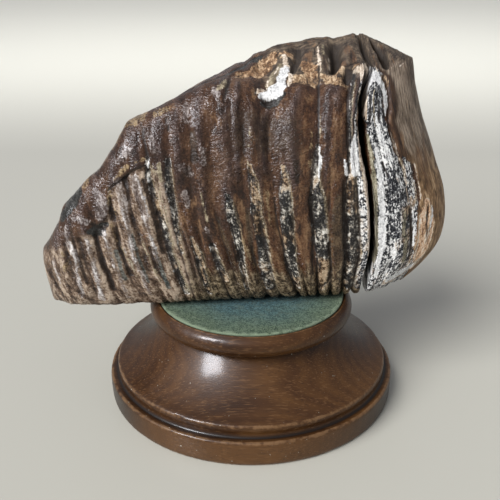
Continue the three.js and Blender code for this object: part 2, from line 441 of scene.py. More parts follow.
def makeFuzz(shape, radius, top, material):
    # short fibres standing off the cut edge and the surface near it
    dice = np.random.default_rng(7)
    count = shape["fibres"]
    turn = dice.uniform(0, 2 * math.pi, count)
    out = radius - 0.3 - np.abs(dice.normal(0, 2.6, count)).clip(0, 9)
    lean = turn + dice.normal(0, 1.1, count)
    length = shape["fibreLength"] * dice.uniform(0.4, 1.1, count)
    rise = dice.uniform(0.05, 0.55, count)
    flat = length * np.sqrt(1 - rise ** 2)
    root = np.stack([out * np.cos(turn), out * np.sin(turn), top - 0.2 + 0 * out], 1)
    tip = root + np.stack([flat * np.cos(lean), flat * np.sin(lean), length * rise], 1)
    side = shape["fibreWidth"] * np.stack([-np.sin(lean), np.cos(lean), 0 * lean], 1)
    middle = (root + tip) / 2 + np.outer(length, [0, 0, shape["fibreLift"]])
    points = np.stack([root - side, root + side, middle - side, middle + side, tip], 1).reshape(-1, 3)
    start = np.arange(count)[:, None] * 5
    triangles = np.vstack([start + [0, 1, 3], start + [0, 3, 2], start + [2, 3, 4]])
    piece = meshFromArrays("baize_fuzz", points * mm, triangles, material)
    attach(piece, "root")
    return piece


def makeBaize(name, baize, isFibre):
    look = Look(name)
    place = look.add("TexCoord", (), "Object")
    away = look.add("VectorMath", {0: look.stretched(place, (1, 1, 0))}, "Value", operation="LENGTH")
    faded = (away + look.noise(place, 60.0) * 0.02).between(0.028, 0.062)
    tuft = look.noise(place, 1500.0, 2.0, 0.7) * 0.6 + look.noise(place, 750.0, 2.0, 0.7) * 0.4
    blotch = look.noise(place, 260.0)
    look.base = tuft.ramp(baize["middle"])
    look.paint(faded, tuft.ramp(baize["rim"]))
    look.layer(blotch, *baize["blotch"])
    look.layer(away + (blotch - 0.5) * 0.008, *baize["edge"])
    if isFibre:
        look.paint(0.6, baize["fibre"])
    return look.finished({"Normal": look.relief(tuft, 0.0004, 0.9), **baize["cloth"]})


pad, padRadius, padTop = makePad(padShape, makeBaize("teal_baize", baizeLook, False))
fuzz = makeFuzz(padShape, padRadius, padTop, makeBaize("baize_fibre", baizeLook, True))
print("baize laid")

# tooth: form
toothShape = dict(
    lineHeights=(60, 85, 115, 160), firstPlate=-1, lastPlate=15,
    # x of the line between two plates, at the four heights above
    foot=(-107.5, -90.5, -82.5, -72, -61, -49, -38.5, -28, -16, -4.5, 8.5, 25, 36, 49, 62, 76, 91),
    waist=(-110, -95.5, -87, -78.5, -68, -57.5, -46, -33, -23, -11.5, 1.5, 17, 32.5, 49, 63, 83, 106),
    chest=(-107, -98, -91, -83, -73, -63.5, -52, -40.5, -28, -18, -2.5, 11, 30.5, 47, 60.5, 80, 104.5),
    head=(-104, -101, -96, -90, -82, -70, -57, -43.5, -31, -20, -5, 7.5, 30, 46, 53.5, 67, 88),
    # height of the upper edge on the flank at -Y and on the other one
    front=(87, 108, 118.5, 128.5, 137, 148, 159.5, 164, 168, 171.5, 173, 167, 166.5, 169, 173, 177, 181.5),
    back=(87, 101, 110, 118, 126, 136, 148, 154, 161, 169.5, 181, 190, 197, 198, 198.5, 194, 181.5),
    flankAt=(-1, 1, 6, 11, 13, 14, 15), flank=(-27, -30, -27.5, -23.5, -20.5, -16, -10),
    halfAt=(-1, 1, 4, 8, 12, 14, 15), half=(17, 25, 31, 37, 40, 38, 34),
    soleAt=(-1, 0, 12.5, 14, 15), soleRise=(0.3, 0, 0, 2.5, 9), soleGap=0.3,
    # small corrections: mm added to the crown's height by plate, and to the end's reach by height
    liftAt=(0, 0.4, 2, 3, 4, 4.6, 5.1, 6, 7, 8, 9, 11, 12, 13, 13.5, 14.2, 15),
    lift=(0, 2.2, -1.5, -2.8, -1.6, 1.8, -0.9, 0.7, 2, 0.8, -1.2, -1.8, -2.2, -3, -1.8, -1.6, -2.2),
    leanAt=(60, 80, 95, 112, 125, 150, 168, 182), lean=(0, 0.8, 0.2, -0.5, -2.1, -2.2, -0.9, 1.8),
    # the rounding of either end: the plate where it starts, its length in plates, its power
    ends=((0.5, -1.5, 2.6), (13.4, 1.6, 2.2)),
    belly=2.5, skew=0.05, crownSquareness=4.2, soleSquareness=8, columns=310, rows=318,
)
groove = dict(
    narrowPlates=1.7, widePlates=2.4, width=0.1, bandAt=0.48, bandWidth=0.09, bandShare=0.6, soleNotch=1.2,
)
split = dict(
    plate=12.97, wall=0.045, flank=22, crown=6, sole=8,
    # half its width in plates, by height
    halfAt=(58, 84, 100, 125, 133, 141, 147, 172), half=(0.10, 0.095, 0.085, 0.072, 0.09, 0.125, 0.170, 0.22),
    # how far it leans from its plate line (mm) at each height, and over how many plates the rest follows
    swayAt=(57, 71, 86, 108, 124, 140, 155, 164, 171, 176, 182),
    sway=(-2.6, -1.8, 0.4, 0.3, -0.2, -1.5, -1.4, 0.4, 3.6, 5.8, 5.2), follows=1.05,
)


def alongPlates(key, plate):
    values = toothShape[key]
    return curveThrough([toothShape["firstPlate"] + i for i in range(len(values))], values, plate)


def endRounding(plate):
    corners = [(1 - np.clip((plate - start) / length, 0, 1) ** power) ** (1 / power)
               for start, length, power in toothShape["ends"]]
    return np.minimum(*corners)


def grooveCut(plate, sole):
    within = plate - np.floor(plate)
    wide = smooth(plate, 6, 12)
    depth = groove["narrowPlates"] + (groove["widePlates"] - groove["narrowPlates"]) * wide
    shape = (bump(np.minimum(within, 1 - within), groove["width"])
             + groove["bandShare"] * bump(within - groove["bandAt"], groove["bandWidth"]))
    return depth * shape * (1 + groove["soleNotch"] * sole ** 3)


def splitInside(plate, height):
    # in plates, how far a place lies inside the gap
    return read(split, "half", height) - np.abs(plate - split["plate"])


def splitEnds(crown, across):
    return np.where(crown > 0, smooth(across, 0.36, 0.50), 1)


def splitCut(plate, height, across, crown, sole):
    wall = np.clip(splitInside(plate, height) / split["wall"], 0, 1)
    onCrown = split["crown"] * crown ** 2 * smooth(across, 0.36, 0.76)
    onFlank = split["flank"] * np.clip(1.5 * across, 0, 1)
    depth = np.minimum(onFlank, split["flank"] * (1 - 0.6 * crown ** 6)) + onCrown
    return wall * np.minimum(depth * splitEnds(crown, across) + split["sole"] * sole ** 2, split["flank"])


def toothSection(plate, angle, height=None):
    # where the surface is, and how far round and up each point lies; height is relief in mm
    shape = toothShape
    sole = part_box("felt_pad")[1][2] / mm + shape["soleGap"]
    power = np.where(np.sin(angle) > 0, shape["crownSquareness"], shape["soleSquareness"])
    reach = (np.abs(np.cos(angle)) ** power + np.abs(np.sin(angle)) ** power) ** (-1 / power)
    across, rise = reach * np.cos(angle), reach * np.sin(angle)
    half = curveThrough(shape["halfAt"], shape["half"], plate)
    flank = curveThrough(shape["flankAt"], shape["flank"], plate)
    front, back = alongPlates("front", plate), alongPlates("back", plate)
    foot = sole + curveThrough(shape["soleAt"], shape["soleRise"], plate)
    middle = (foot + (front + back) / 2) / 2
    tall = np.where(rise >= 0, front + (back - front) * (1 - across) / 2 - middle, middle - foot)
    crown, under = np.maximum(rise, 0), np.maximum(-rise, 0)
    rounding = endRounding(plate)
    belly = shape["belly"] * (np.cos(rise * math.pi / 2) - 1) * np.maximum(across, 0)
    fine = grooveCut(plate, under) * rounding if height is None else -height
    cut = fine + rounding * splitCut(plate, middle + tall * rise, across, crown, under)
    outY = np.sign(across) * np.abs(across) ** (power - 1) / half
    outZ = np.sign(rise) * np.abs(rise) ** (power - 1) / tall
    size = np.hypot(outY, outZ)
    y = flank + half - (half * across + belly) * rounding + cut * outY / size
    z = middle + tall * rise - cut * outZ / size
    z = z + read(shape, "lift", plate) * crown ** 3
    lines = [alongPlates(key, plate) for key in ("foot", "waist", "chest", "head")]
    sway = read(split, "sway", z) * bump(plate - split["plate"], split["follows"])
    lean = read(shape, "lean", z) * smooth(plate, 13.2, 14.6)
    x = curveThrough(shape["lineHeights"], lines, z) + shape["skew"] * (y - flank) + sway + lean
    return np.stack([x, y, z], -1), across, rise, rounding


def toothColumns(count):
    # evenly spaced along the flank, with some kept for the walls of the split
    plate = np.linspace(toothShape["firstPlate"], toothShape["lastPlate"], 6001)
    step = np.abs(np.diff(toothSection(plate, 0 * plate)[0], axis=0))
    return evenly(plate, running(step[:, 0] + 0.35 * step[:, 1]), count)


def toothRows(count):
    # round the section from the middle of the sole: close together on the flank and the crown
    angle = np.radians(np.linspace(-90, 270, 3601))
    points = toothSection(8 + 0 * angle, angle, 0 * angle)[0]
    middle = np.degrees((angle[1:] + angle[:-1]) / 2)
    weight = 0.28 + 0.72 * span(middle, -55, -45, 115, 135)
    lengths = running(np.linalg.norm(np.diff(points, axis=0), axis=1) * weight)
    return evenly(angle, lengths, count + 1)[:-1]


plateAt = toothColumns(toothShape["columns"])[:, None]
angleAt = toothRows(toothShape["rows"])[None, :]
formPoints, across, rise, rounding = toothSection(plateAt, angleAt + 0 * plateAt, 0 * plateAt * angleAt)
flankRow = np.argmin(np.abs(angleAt[0]))
stepsAlong, stepsAcross = np.abs(np.diff(formPoints[:, flankRow, :2], axis=0)).T
flankSteps = stepsAlong + stepsAcross.clip(0, 1.2)
inSplit = np.abs(plateAt[1:, 0] - split["plate"]) < 0.3
flankLength, crownLength = running(flankSteps), running(np.where(inSplit, stepsAlong, flankSteps))
print("tooth form", formPoints.shape)

# tooth: finer relief and the maps that the colours follow
coverShape = dict(
    # below this height the cement coat has worn or flaked away, by plate
    bareAt=(-1, 0, 1, 2, 2.9, 3.2, 3.55, 4.1, 4.5, 5.3, 6.2, 6.8, 8, 9.3, 10.3, 11.2, 12, 13, 15),
    bare=(90, 97, 101, 103, 107, 111, 124, 128, 132, 136, 132, 116, 116, 122, 124, 130, 150, 176, 180),
    softAt=(-1, 2.3, 2.8, 5.3, 6.4, 15), soft=(7, 6, 1.5, 1.5, 24, 24),
    # the plate where the worn end wall begins, by height
    wallAt=(62, 75, 80, 87, 107, 113, 130, 134, 140, 147, 153, 158, 168, 174, 177),
    wall=(14.3, 14.27, 14.13, 14.08, 14.15, 14.33, 14.38, 14.2, 14.06, 14.04, 13.98, 14.12, 14.14, 14, 13.6),
    # depth of the plate grooves in mm, and how much deeper they run into the sole, by plate
    depthAt=(-1, 5, 7, 12), depth=(1.3, 1.5, 1.8, 2.4),
    deeperAt=(-1, 5, 8, 9, 15), deeper=(-0.8, -0.7, -0.3, 0.7, 1),
    # mm over the crown for each degree, how many bands are muted, and how many have an edge line
    degree=0.62, mutedBands=9, edgedBands=10,
)
# bands of bare enamel, from the top down: plate, height, half width in mm, how pale from -1 to 1, how ochre
bands = (
    ((5.4, 138, 0.8, 0.7, 0.3), (5.34, 130, 1.3, 0.5, 0.1), (5.38, 125, 1.5, -0.1, 0.1),
     (5.49, 117, 1.6, 0.4, 0.9), (5.52, 111, 1.6, 0.2, 0.8), (5.58, 104, 1.5, -0.2, 0.1),
     (5.48, 90, 1.6, -0.4, 0), (5.58, 66, 1.6, -0.3, 0.2)),
    ((6.17, 137, 1.4, -0.2, 0.1), (6.14, 124, 1.8, -0.4, 0), (6.17, 113, 1.5, -0.1, 0.2),
     (6.02, 99, 1.2, -0.1, 0.3), (5.93, 91, 0.8, -0.2, 0.3)),
    ((6.57, 97, 1.2, -0.4, 0.4), (6.68, 89, 2.6, 0.3, 0.5), (6.65, 82, 2.8, 0.3, 0.5),
     (6.64, 74, 2, -0.1, 0.5), (6.65, 66, 1.4, -0.3, 0.4)),
    ((7.44, 93, 1.2, -0.6, 0), (7.5, 87, 1.5, -0.5, 0.2), (7.6, 74, 1.5, 0, 0.6)),
    ((8.46, 119, 1.4, -0.4, 0.3), (8.5, 113, 2.5, -0.3, 0.1), (8.54, 104, 2.6, -0.3, 0),
     (8.56, 94, 2.6, -0.1, 0.1), (8.54, 86, 2.6, -0.3, 0), (8.45, 77, 2, 0, 0.4),
     (8.4, 68, 1.4, -0.2, 0.5)),
    ((9.22, 134, 1.2, -0.1, 0.9), (9.32, 127, 2.4, -0.25, 0.8), (9.38, 119, 2.8, -0.3, 0.4),
     (9.36, 110, 2.6, -0.2, 0.5), (9.4, 99, 2.6, -0.05, 1), (9.41, 95, 2.6, -0.4, 0.3),
     (9.36, 88, 2.7, -0.5, 0), (9.3, 78, 2.8, -0.1, 0.3), (9.25, 68, 2.2, -0.2, 0.4)),
    ((10.32, 133, 1.2, 0.1, 0.6), (10.35, 127, 2, 0.1, 0.8), (10.33, 121, 3, -0.3, 0.1),
     (10.34, 112, 3.4, 0.1, 0.1), (10.32, 103, 3.6, 0.1, 0.2), (10.28, 97, 3.6, 0, 0.7),
     (10.24, 89, 4, -0.3, 0.1), (10.18, 78, 4, -0.1, 0.2), (10.14, 68, 2.8, -0.1, 0.5)),
    ((11.1, 143, 0.9, 0.4, 0), (11.08, 137, 1.9, 0, 0), (11.08, 128, 2.1, 0.2, 0.1),
     (11.09, 122, 2.8, 0.3, 0.5), (11.12, 118, 4, -0.4, 0), (11.16, 110, 4.3, -0.5, 0),
     (11.18, 104, 4.3, -0.1, 0.1), (11.24, 93, 4.2, -0.2, 0), (11.28, 86, 4, -0.3, 0.1),
     (11.26, 81, 3.7, 0.2, 0.9), (11.2, 74, 3.5, 0.3, 0.9), (11.12, 66, 2.8, 0.1, 0.8)),
    ((12.15, 174, 0.9, 0, 0.3), (12.16, 160, 1.3, -0.4, 0.1), (12.2, 150, 1.6, -0.6, 0),
     (12.25, 143, 1.6, -0.2, 0.1), (12.24, 128, 2.6, 0.4, 0.4), (12.2, 123, 3, -0.1, 0.9),
     (12.18, 117, 3.6, -0.4, 0.6), (12.2, 104, 4, -0.5, 0.1), (12.22, 92, 4.2, -0.3, 0.1),
     (12.22, 80, 4.2, -0.15, 0.3), (12.25, 66, 4, -0.1, 0.4)),
    ((12.6, 172, 1.2, -0.4, 0.3), (12.6, 160, 1.4, -0.4, 0.3), (12.62, 150, 2, 0, 0.2),
     (12.68, 143, 2.6, 0.4, 0.1), (12.7, 130, 3.2, 0.8, 0.1), (12.7, 120, 3.4, 0.6, 0.2),
     (12.72, 108, 3.4, 0.3, 0.2), (12.73, 97, 3.2, 0.5, 0.2), (12.7, 88, 3.2, 0.1, 0.3),
     (12.72, 78, 3.4, 0.1, 0.4), (12.8, 66, 3.2, 0, 0.3)),
    ((13.5, 176, 9, -0.1, 0), (13.5, 160, 9, -0.2, 0), (13.6, 150, 9, 0.1, 0), (13.65, 137, 9, 0.2, 0),
     (13.7, 120, 14, 0, 0), (13.75, 100, 17, 0, 0.2), (13.75, 80, 17, 0.1, 0.2),
     (13.8, 60, 17, 0.3, 0.2)),
    ((13.56, 157, 1.4, 0.8, 0), (13.62, 150, 3, 1, 0), (13.64, 142, 3.6, 0.8, 0),
     (13.68, 134, 3.8, 0.7, 0), (13.7, 128, 3.6, 0.2, 0)),
    ((13.72, 128, 2.8, -0.3, 0), (13.66, 122, 4, -0.5, 0), (13.57, 113, 4.2, -0.4, 0),
     (13.54, 107, 4, 0.3, 0), (13.53, 101, 4, 0.2, 0), (13.52, 95, 3.8, -0.3, 0),
     (13.53, 88, 3.8, 0.6, 0), (13.54, 78, 3.6, 0.5, 0.1), (13.6, 68, 3, 0.4, 0.1)),
    ((14.1, 143, 1, -0.1, 0), (14.17, 138, 2, 0.1, 0), (14.22, 130, 3, 0.3, 0.2),
     (14.17, 119, 3.4, 0.3, 0.3), (14.13, 111, 3.2, 0.3, 0.4)),
    ((13.9, 109, 4.5, -0.2, 0.4), (13.92, 96, 4.6, -0.1, 0.5), (13.95, 84, 4.4, 0, 0.5),
     (14, 72, 4, 0.3, 0.3)),
)
# strokes on the flank: nodes of plate, height and half width in mm
strokes = dict(
    # raised ridges that also carry a painted violet sheen
    sheenRidges=(
        ((10.03, 161, 1), (9.87, 155, 1.5), (9.8, 146, 1.7), (9.82, 139, 1.7), (9.85, 132, 1.3)),
        ((10.66, 168, 0.9), (10.54, 160, 1.4), (10.48, 151, 1.7), (10.52, 141, 1.7), (10.6, 133, 1.6),
         (10.61, 125, 0.9)),
        ((11.35, 167, 1.4), (11.33, 155, 1.6), (11.31, 146, 1.5), (11.35, 137, 1.3), (11.42, 127, 0.9)),
        ((8.86, 171, 1.2), (8.81, 158, 1.6), (8.8, 148, 1.7), (8.82, 137, 1.6), (8.81, 128, 1))),
    rust=(
        ((9.86, 126, 1.4), (9.84, 118, 2.4), (9.86, 110, 3.2), (9.86, 88, 3)),
        ((8.7, 120, 1.2), (8.92, 104, 2.2), (9, 86, 2)),
        ((10.72, 128, 1.6), (10.72, 108, 3), (10.76, 86, 3)),
        ((11.62, 160, 2.5), (11.66, 130, 4.2), (11.6, 116, 4)), ((6.5, 116, 1.4), (6.5, 103, 2)),
        ((7, 106, 1.4), (7.1, 90, 1.8)), ((7.9, 112, 1.2), (8, 94, 1.6)),
        ((4.6, 104, 0.8), (4.66, 80, 1.1)),
        ((14, 135, 0.9), (14.02, 127, 1.1), (13.95, 116, 1.2), (13.9, 108, 1.2)),
        ((9.4, 150, 1.5), (9.44, 136, 2)),
        ((10.25, 162, 1), (10.13, 154, 1.4), (10.07, 145, 1.6), (10.02, 137, 1.4)),
        ((10.93, 166, 1), (10.81, 157, 1.6), (10.76, 148, 2), (10.79, 136, 2), (10.85, 128, 1.5))),
    umber=(
        ((11.76, 118, 2), (11.74, 104, 3.6), (11.76, 88, 3.8), (11.8, 74, 3)),
        ((8.02, 108, 1), (8.1, 92, 1.6), (8.12, 78, 1.4)),
        ((9.02, 112, 1), (9, 96, 1.4), (8.96, 82, 1.6))),
    shade=(
        ((2.35, 99, 1), (2.33, 89, 1.5), (2.42, 80, 1.6), (2.37, 70, 1.3)),
        ((4.73, 93, 0.8), (4.7, 81, 1), (4.96, 72, 1)),
        ((1.06, 107, 0.5), (1.02, 96, 0.6), (1.08, 86, 0.7), (1.14, 74, 0.8)),
        ((3.32, 117, 0.5), (3.5, 111.5, 1.5), (3.38, 108.5, 1.2)),
        ((5.12, 128, 1), (5.22, 118, 1.3), (5.28, 104, 1.2), (5.2, 90, 1)),
        ((3.45, 104, 0.7), (3.36, 92, 0.9), (3.45, 78, 0.9)), ((10.6, 136, 1.6), (10.62, 126, 1.2)),
        ((7.2, 150, 1.5), (7.25, 138, 2)), ((10, 163, 2), (10.2, 163.5, 1.6))),
    slate=(
        ((0.4, 108, 1.6), (0.9, 112.5, 2.6), (1.45, 117, 2.8), (1.9, 121.5, 1.6)),
        ((2.1, 102, 1.3), (2.5, 104.2, 1.8), (2.95, 105.6, 1.7)),
        ((2.3, 100.5, 1.2), (2.62, 101.5, 1.8), (2.8, 103.5, 1.4)),
        ((9.84, 163.4, 1.2), (10.08, 163.2, 1.9), (10.24, 164.2, 1.5), (10.38, 166.4, 0.9))),
    teal=(
        ((4.94, 94, 1.1), (4.93, 80, 1.3), (4.9, 70, 1)), ((3.12, 92, 0.8), (3.1, 76, 1)),
        ((7.47, 90, 1.4), (7.5, 86, 1.3)), ((4.14, 100, 0.7), (4.12, 88, 0.9), (4.12, 74, 0.8))),
    shine=(
        ((0.68, 104, 1), (0.62, 96, 1.3), (0.94, 91, 1.4), (0.83, 84, 1.4), (0.62, 76, 1.4),
         (0.49, 66, 1.2)),
        ((1.88, 98, 1), (1.94, 88, 1.4), (1.81, 79, 1.4), (1.7, 70, 1.3), (1.6, 64, 1)),
        ((2.81, 101, 0.8), (2.82, 94, 1.1), (2.85, 86, 1), (2.93, 79, 1), (2.9, 72, 0.9),
         (2.84, 65, 0.8)),
        ((4.05, 128, 2), (4.11, 116, 1.7), (4.04, 105, 1.4), (3.97, 97, 1.2), (3.95, 86, 1.1),
         (3.98, 78, 1), (3.92, 67, 0.9)),
        ((4.76, 128, 2.6), (4.88, 118, 2.3), (4.9, 106, 1.4), (4.92, 97, 1.1), (4.9, 85, 0.9)),
        ((-0.38, 86, 1), (-0.29, 77, 0.9)), ((2.86, 104, 0.8), (2.98, 105, 0.8)),
        ((6.02, 126, 0.7), (6.02, 120, 0.6)), ((6.7, 122, 1.6), (6.74, 115, 1.3)),
        ((7.41, 103, 0.7), (7.41, 98, 0.6)), ((2.83, 122, 1.8), (3.1, 118, 2.6), (2.85, 111, 2.6)),
        ((1.35, 109, 1.4), (2.1, 108, 1.5)), ((4.66, 142, 1.4), (4.22, 137, 1.3)),
        ((6.67, 135, 2), (6.98, 131, 1.8)), ((8.16, 168.5, 1.3), (8.28, 167, 1.2)),
        ((6.93, 163, 1), (6.93, 156, 1.4)), ((7.66, 143, 1.4), (7.7, 136, 1.2)),
        ((5.55, 150, 1.3), (5.66, 142, 1.4))),
    gold=(
        ((0.12, 90, 1), (0.34, 87, 1.2), (0, 81, 1)),
        ((3.95, 128.3, 0.3), (4.25, 131.8, 0.6), (4.5, 134.4, 0.9), (4.62, 135, 0.4)),
        ((4.9, 136.5, 0.3), (5.2, 138.2, 0.5), (5.4, 138.6, 0.3)),
        ((3.63, 125, 0.5), (3.41, 116, 0.6), (3.62, 110.5, 0.5)),
        ((3.95, 142, 1), (4.12, 146, 1.8), (4.35, 150.5, 2.2)), ((4.65, 154, 1.8), (5.26, 156.5, 1.3)),
        ((5.72, 158.4, 0.9), (6.18, 160.4, 1)), ((2.2, 124, 0.8), (2.47, 127, 1.2)),
        ((3.22, 106, 0.8), (3.28, 97, 0.9)), ((10.95, 150, 0.5), (10.92, 134, 0.6)),
        ((9.85, 122, 0.5), (9.78, 104, 0.6)), ((8.75, 96, 0.6), (8.9, 80, 0.8)),
        ((6.9, 80, 1), (6.95, 72, 0.9))),
    tan=(
        ((14.06, 135, 0.5), (14.04, 129, 0.7), (14.08, 122, 0.6), (14.06, 116, 0.4)),
        ((9.35, 155, 0), (9.22, 142, 0.2), (9.14, 132, 0.3)), ((11.15, 158, 0.1), (11.17, 144, 0.2)),
        ((3.4, 94, 0.6), (3.67, 86, 0.8), (3.72, 78, 0.7)),
        ((5.56, 136, 0.4), (5.67, 124, 0.45), (5.81, 116, 0.55), (5.77, 104, 0.55), (5.64, 90, 0.55),
         (5.68, 78, 0.6), (5.7, 66, 0.5)), ((7.42, 122, 0.4), (7.46, 117, 0.6), (7.55, 107, 0.5)),
        ((4.48, 99, 0.4), (4.58, 85, 0.6), (4.68, 74, 0.6)), ((5.82, 136, 1), (5.84, 128, 0.8)),
        ((13.47, 168, 0.7), (13.52, 152, 0.8)), ((8.3, 169.6, 1), (8.44, 170.8, 1.6))),
    orange=(
        ((14.44, 109, 3), (14.44, 102, 6.2), (14.44, 94, 7), (14.38, 86, 6.4), (14.33, 79, 4)),
        ((14.32, 106, 2.4), (14.26, 98, 3.2), (14.22, 88, 3.4), (14.22, 80, 2.6))),
    glint=(
        ((0.72, 100, 0.5), (0.79, 93, 0.8), (0.85, 86, 0.7), (0.72, 76, 1), (0.61, 66, 0.8)),
        ((1.83, 97, 0.5), (1.83, 89, 0.8), (1.83, 82, 0.9), (1.74, 74, 0.8), (1.61, 67, 0.6)),
        ((2.74, 102, 0.5), (2.82, 95, 0.5), (2.88, 87, 0.6), (2.82, 80, 0.4)),
        ((3.56, 94, 0.3), (3.66, 87, 0.5), (3.66, 78, 0.6)),
        ((4.8, 110, 0.4), (4.91, 99, 0.5), (5, 90, 0.6)),
        ((4.85, 131, 0.5), (4.98, 120, 0.6), (5.08, 110, 0.4)),
        ((-0.45, 84, 0.9), (-0.38, 77, 0.9), (-0.42, 70, 0.6)),
        ((4.04, 114, 0.5), (3.98, 100, 0.5), (3.95, 86, 0.5))),
    khaki=(
        ((13.18, 148, 0.9), (13.2, 139, 1.5), (13.13, 125, 1.4), (13.08, 113, 1.5), (13.06, 93, 1.3),
         (13.06, 80, 0.8)), ((13.85, 107, 0.8), (13.8, 98, 1.4), (13.8, 94, 1)),
        ((13.87, 93, 0.8), (13.84, 88, 1.6), (13.92, 79, 1.5))),
    cream=(
        ((12.8, 147, 1.3), (12.82, 129, 1.8), (12.86, 118, 1.3), (12.86, 107, 1), (12.83, 96, 0.8),
         (12.86, 82, 0.5)), ((13.98, 148, 0.5), (14, 140, 0.8), (14.03, 133, 0.6)),
        ((14.12, 133, 0.5), (14.05, 122, 0.7), (13.99, 112, 0.8)),
        ((14.39, 131, 0.4), (14.36, 122, 0.7), (14.31, 113, 0.7)),
        ((14.53, 109, 0.6), (14.53, 104, 1.4), (14.48, 99, 1.3), (14.44, 93, 1), (14.4, 88, 0.8)),
        ((14.45, 78, 1.3), (14.28, 75, 2.4), (14.16, 72, 2.8), (13.94, 69, 2.8), (13.66, 67, 2.2)),
        ((14.2, 104, 0.5), (14.19, 98, 0.9), (14.17, 91, 0.9), (14.16, 84, 1.1), (14.2, 79, 1)),
        ((13.16, 168, 0.9), (13.17, 156, 1)), ((12.25, 135, 0.7), (12.16, 129, 1.6)),
        ((9.7, 168, 1.1), (9.92, 168.4, 0.9)), ((10, 168.6, 0.4), (10.02, 171.5, 0.5)),
        ((11, 138, 0.5), (10.98, 124, 0.6)), ((10.48, 170, 0.9), (10.52, 174, 0.9))),
    white=(
        ((12.5, 148, 1.2), (12.46, 143, 3), (12.44, 137, 3.4), (12.42, 132, 2.6), (12.39, 129.5, 1.6)),
        ((11.96, 136, 0.7), (12.02, 132, 1.2), (12.03, 129, 0.9)),
        ((13.39, 144, 0.8), (13.39, 136, 1.4), (13.34, 125, 1.8), (13.27, 114, 2), (13.23, 102, 2.1),
         (13.24, 90, 1.9), (13.2, 82, 1.7), (13.27, 72, 1.1)),
        ((13.62, 153, 0.8), (13.64, 148, 1.2), (13.7, 142, 1.2), (13.76, 135, 0.8)),
        ((13.12, 170, 0.9), (13.3, 174, 1.7), (13.5, 174.5, 2.2), (13.74, 172.5, 2.3), (13.9, 169.5, 2.4),
         (13.98, 165, 2.3), (13.95, 161, 2), (13.9, 157, 0.8)),
        ((9.78, 166.4, 1.2), (9.95, 166.5, 1.9), (10.15, 167.5, 2.4), (10.28, 169, 2.6),
         (10.35, 173, 1.8), (10.43, 176, 1.6)), ((14.07, 108, 0.7), (14.08, 98, 0.9), (14.05, 88, 0.7)),
        ((14.56, 108, 0.5), (14.55, 103, 1), (14.5, 98, 0.9), (14.46, 94, 0.5)),
        ((14.26, 74.6, 1.4), (14.1, 71.6, 2.2), (13.86, 69.4, 2.2), (13.7, 67.8, 1.5)),
        ((11.15, 143, 0.5), (11.18, 136, 0.9), (11.16, 128, 0.5)), ((5.44, 137, 0.5), (5.38, 134, 0.35)),
        ((5.34, 131, 0.3), (5.34, 127, 0.4))),
    crack=(
        ((5.25, 154, 0.4), (5.35, 147, 0.5), (5.44, 139, 0.6)), ((6.18, 157, 0.4), (6.24, 152, 0.5)),
        ((3.5, 123.2, 0.4), (4.21, 128.2, 0.35), (4.76, 133, 0.3), (5.31, 135.6, 0.3)),
        ((8.6, 172.5, 0.9), (8.52, 169, 0.9), (8.48, 165, 0.4)),
        ((12, 172, 0.5), (12.03, 155, 0.8), (12.06, 145, 0.9), (12.12, 138, 0.9), (12.14, 130, 0.7)),
        ((11.11, 176, 0.45), (11.1, 158, 0.4), (11.12, 143, 0.3)),
        ((10.96, 124, 0.5), (10.9, 116, 0.7), (11, 101, 0.5), (10.93, 88, 0.5), (10.89, 75, 0.5)),
        ((11.92, 126, 0.5), (11.9, 100, 0.6), (11.98, 74, 0.5)),
        ((11.45, 93, 0.4), (11.52, 78, 0.7), (11.4, 70, 0.7), (11.16, 66, 0.6)),
        ((13.99, 108, 0.8), (14, 95, 1), (14.03, 79, 0.8)),
        ((14.47, 109, 0.6), (14.42, 104, 1.3), (14.38, 98, 1.2), (14.4, 93, 0.8), (14.37, 90, 0.4)),
        ((13.34, 168, 0.5), (13.39, 158, 0.8), (13.32, 153, 0.6)),
        ((13.62, 170, 0.6), (13.7, 160, 0.9), (13.66, 154, 0.7)), ((13.84, 163, 0.8), (13.87, 156, 0.7)),
        ((9.8, 165.6, 0.7), (9.95, 163.9, 0.6), (10.08, 164, 0.5)), ((9.6, 167, 0.5), (9.62, 169.5, 0.3)),
        ((13.5, 134, 0.5), (13.56, 127, 0.5)), ((2.35, 106, 0.9), (2.8, 103.2, 0.8)),
        ((13.08, 153, 0.7), (13.2, 150, 0.5)), ((8.28, 108, 0.3), (8.3, 84, 0.4)),
        ((10.05, 118, 0.3), (10.02, 92, 0.35)), ((12.34, 122, 0.4), (12.36, 76, 0.4)),
        ((13.72, 94, 0.3), (13.96, 93.5, 0.5))),
)
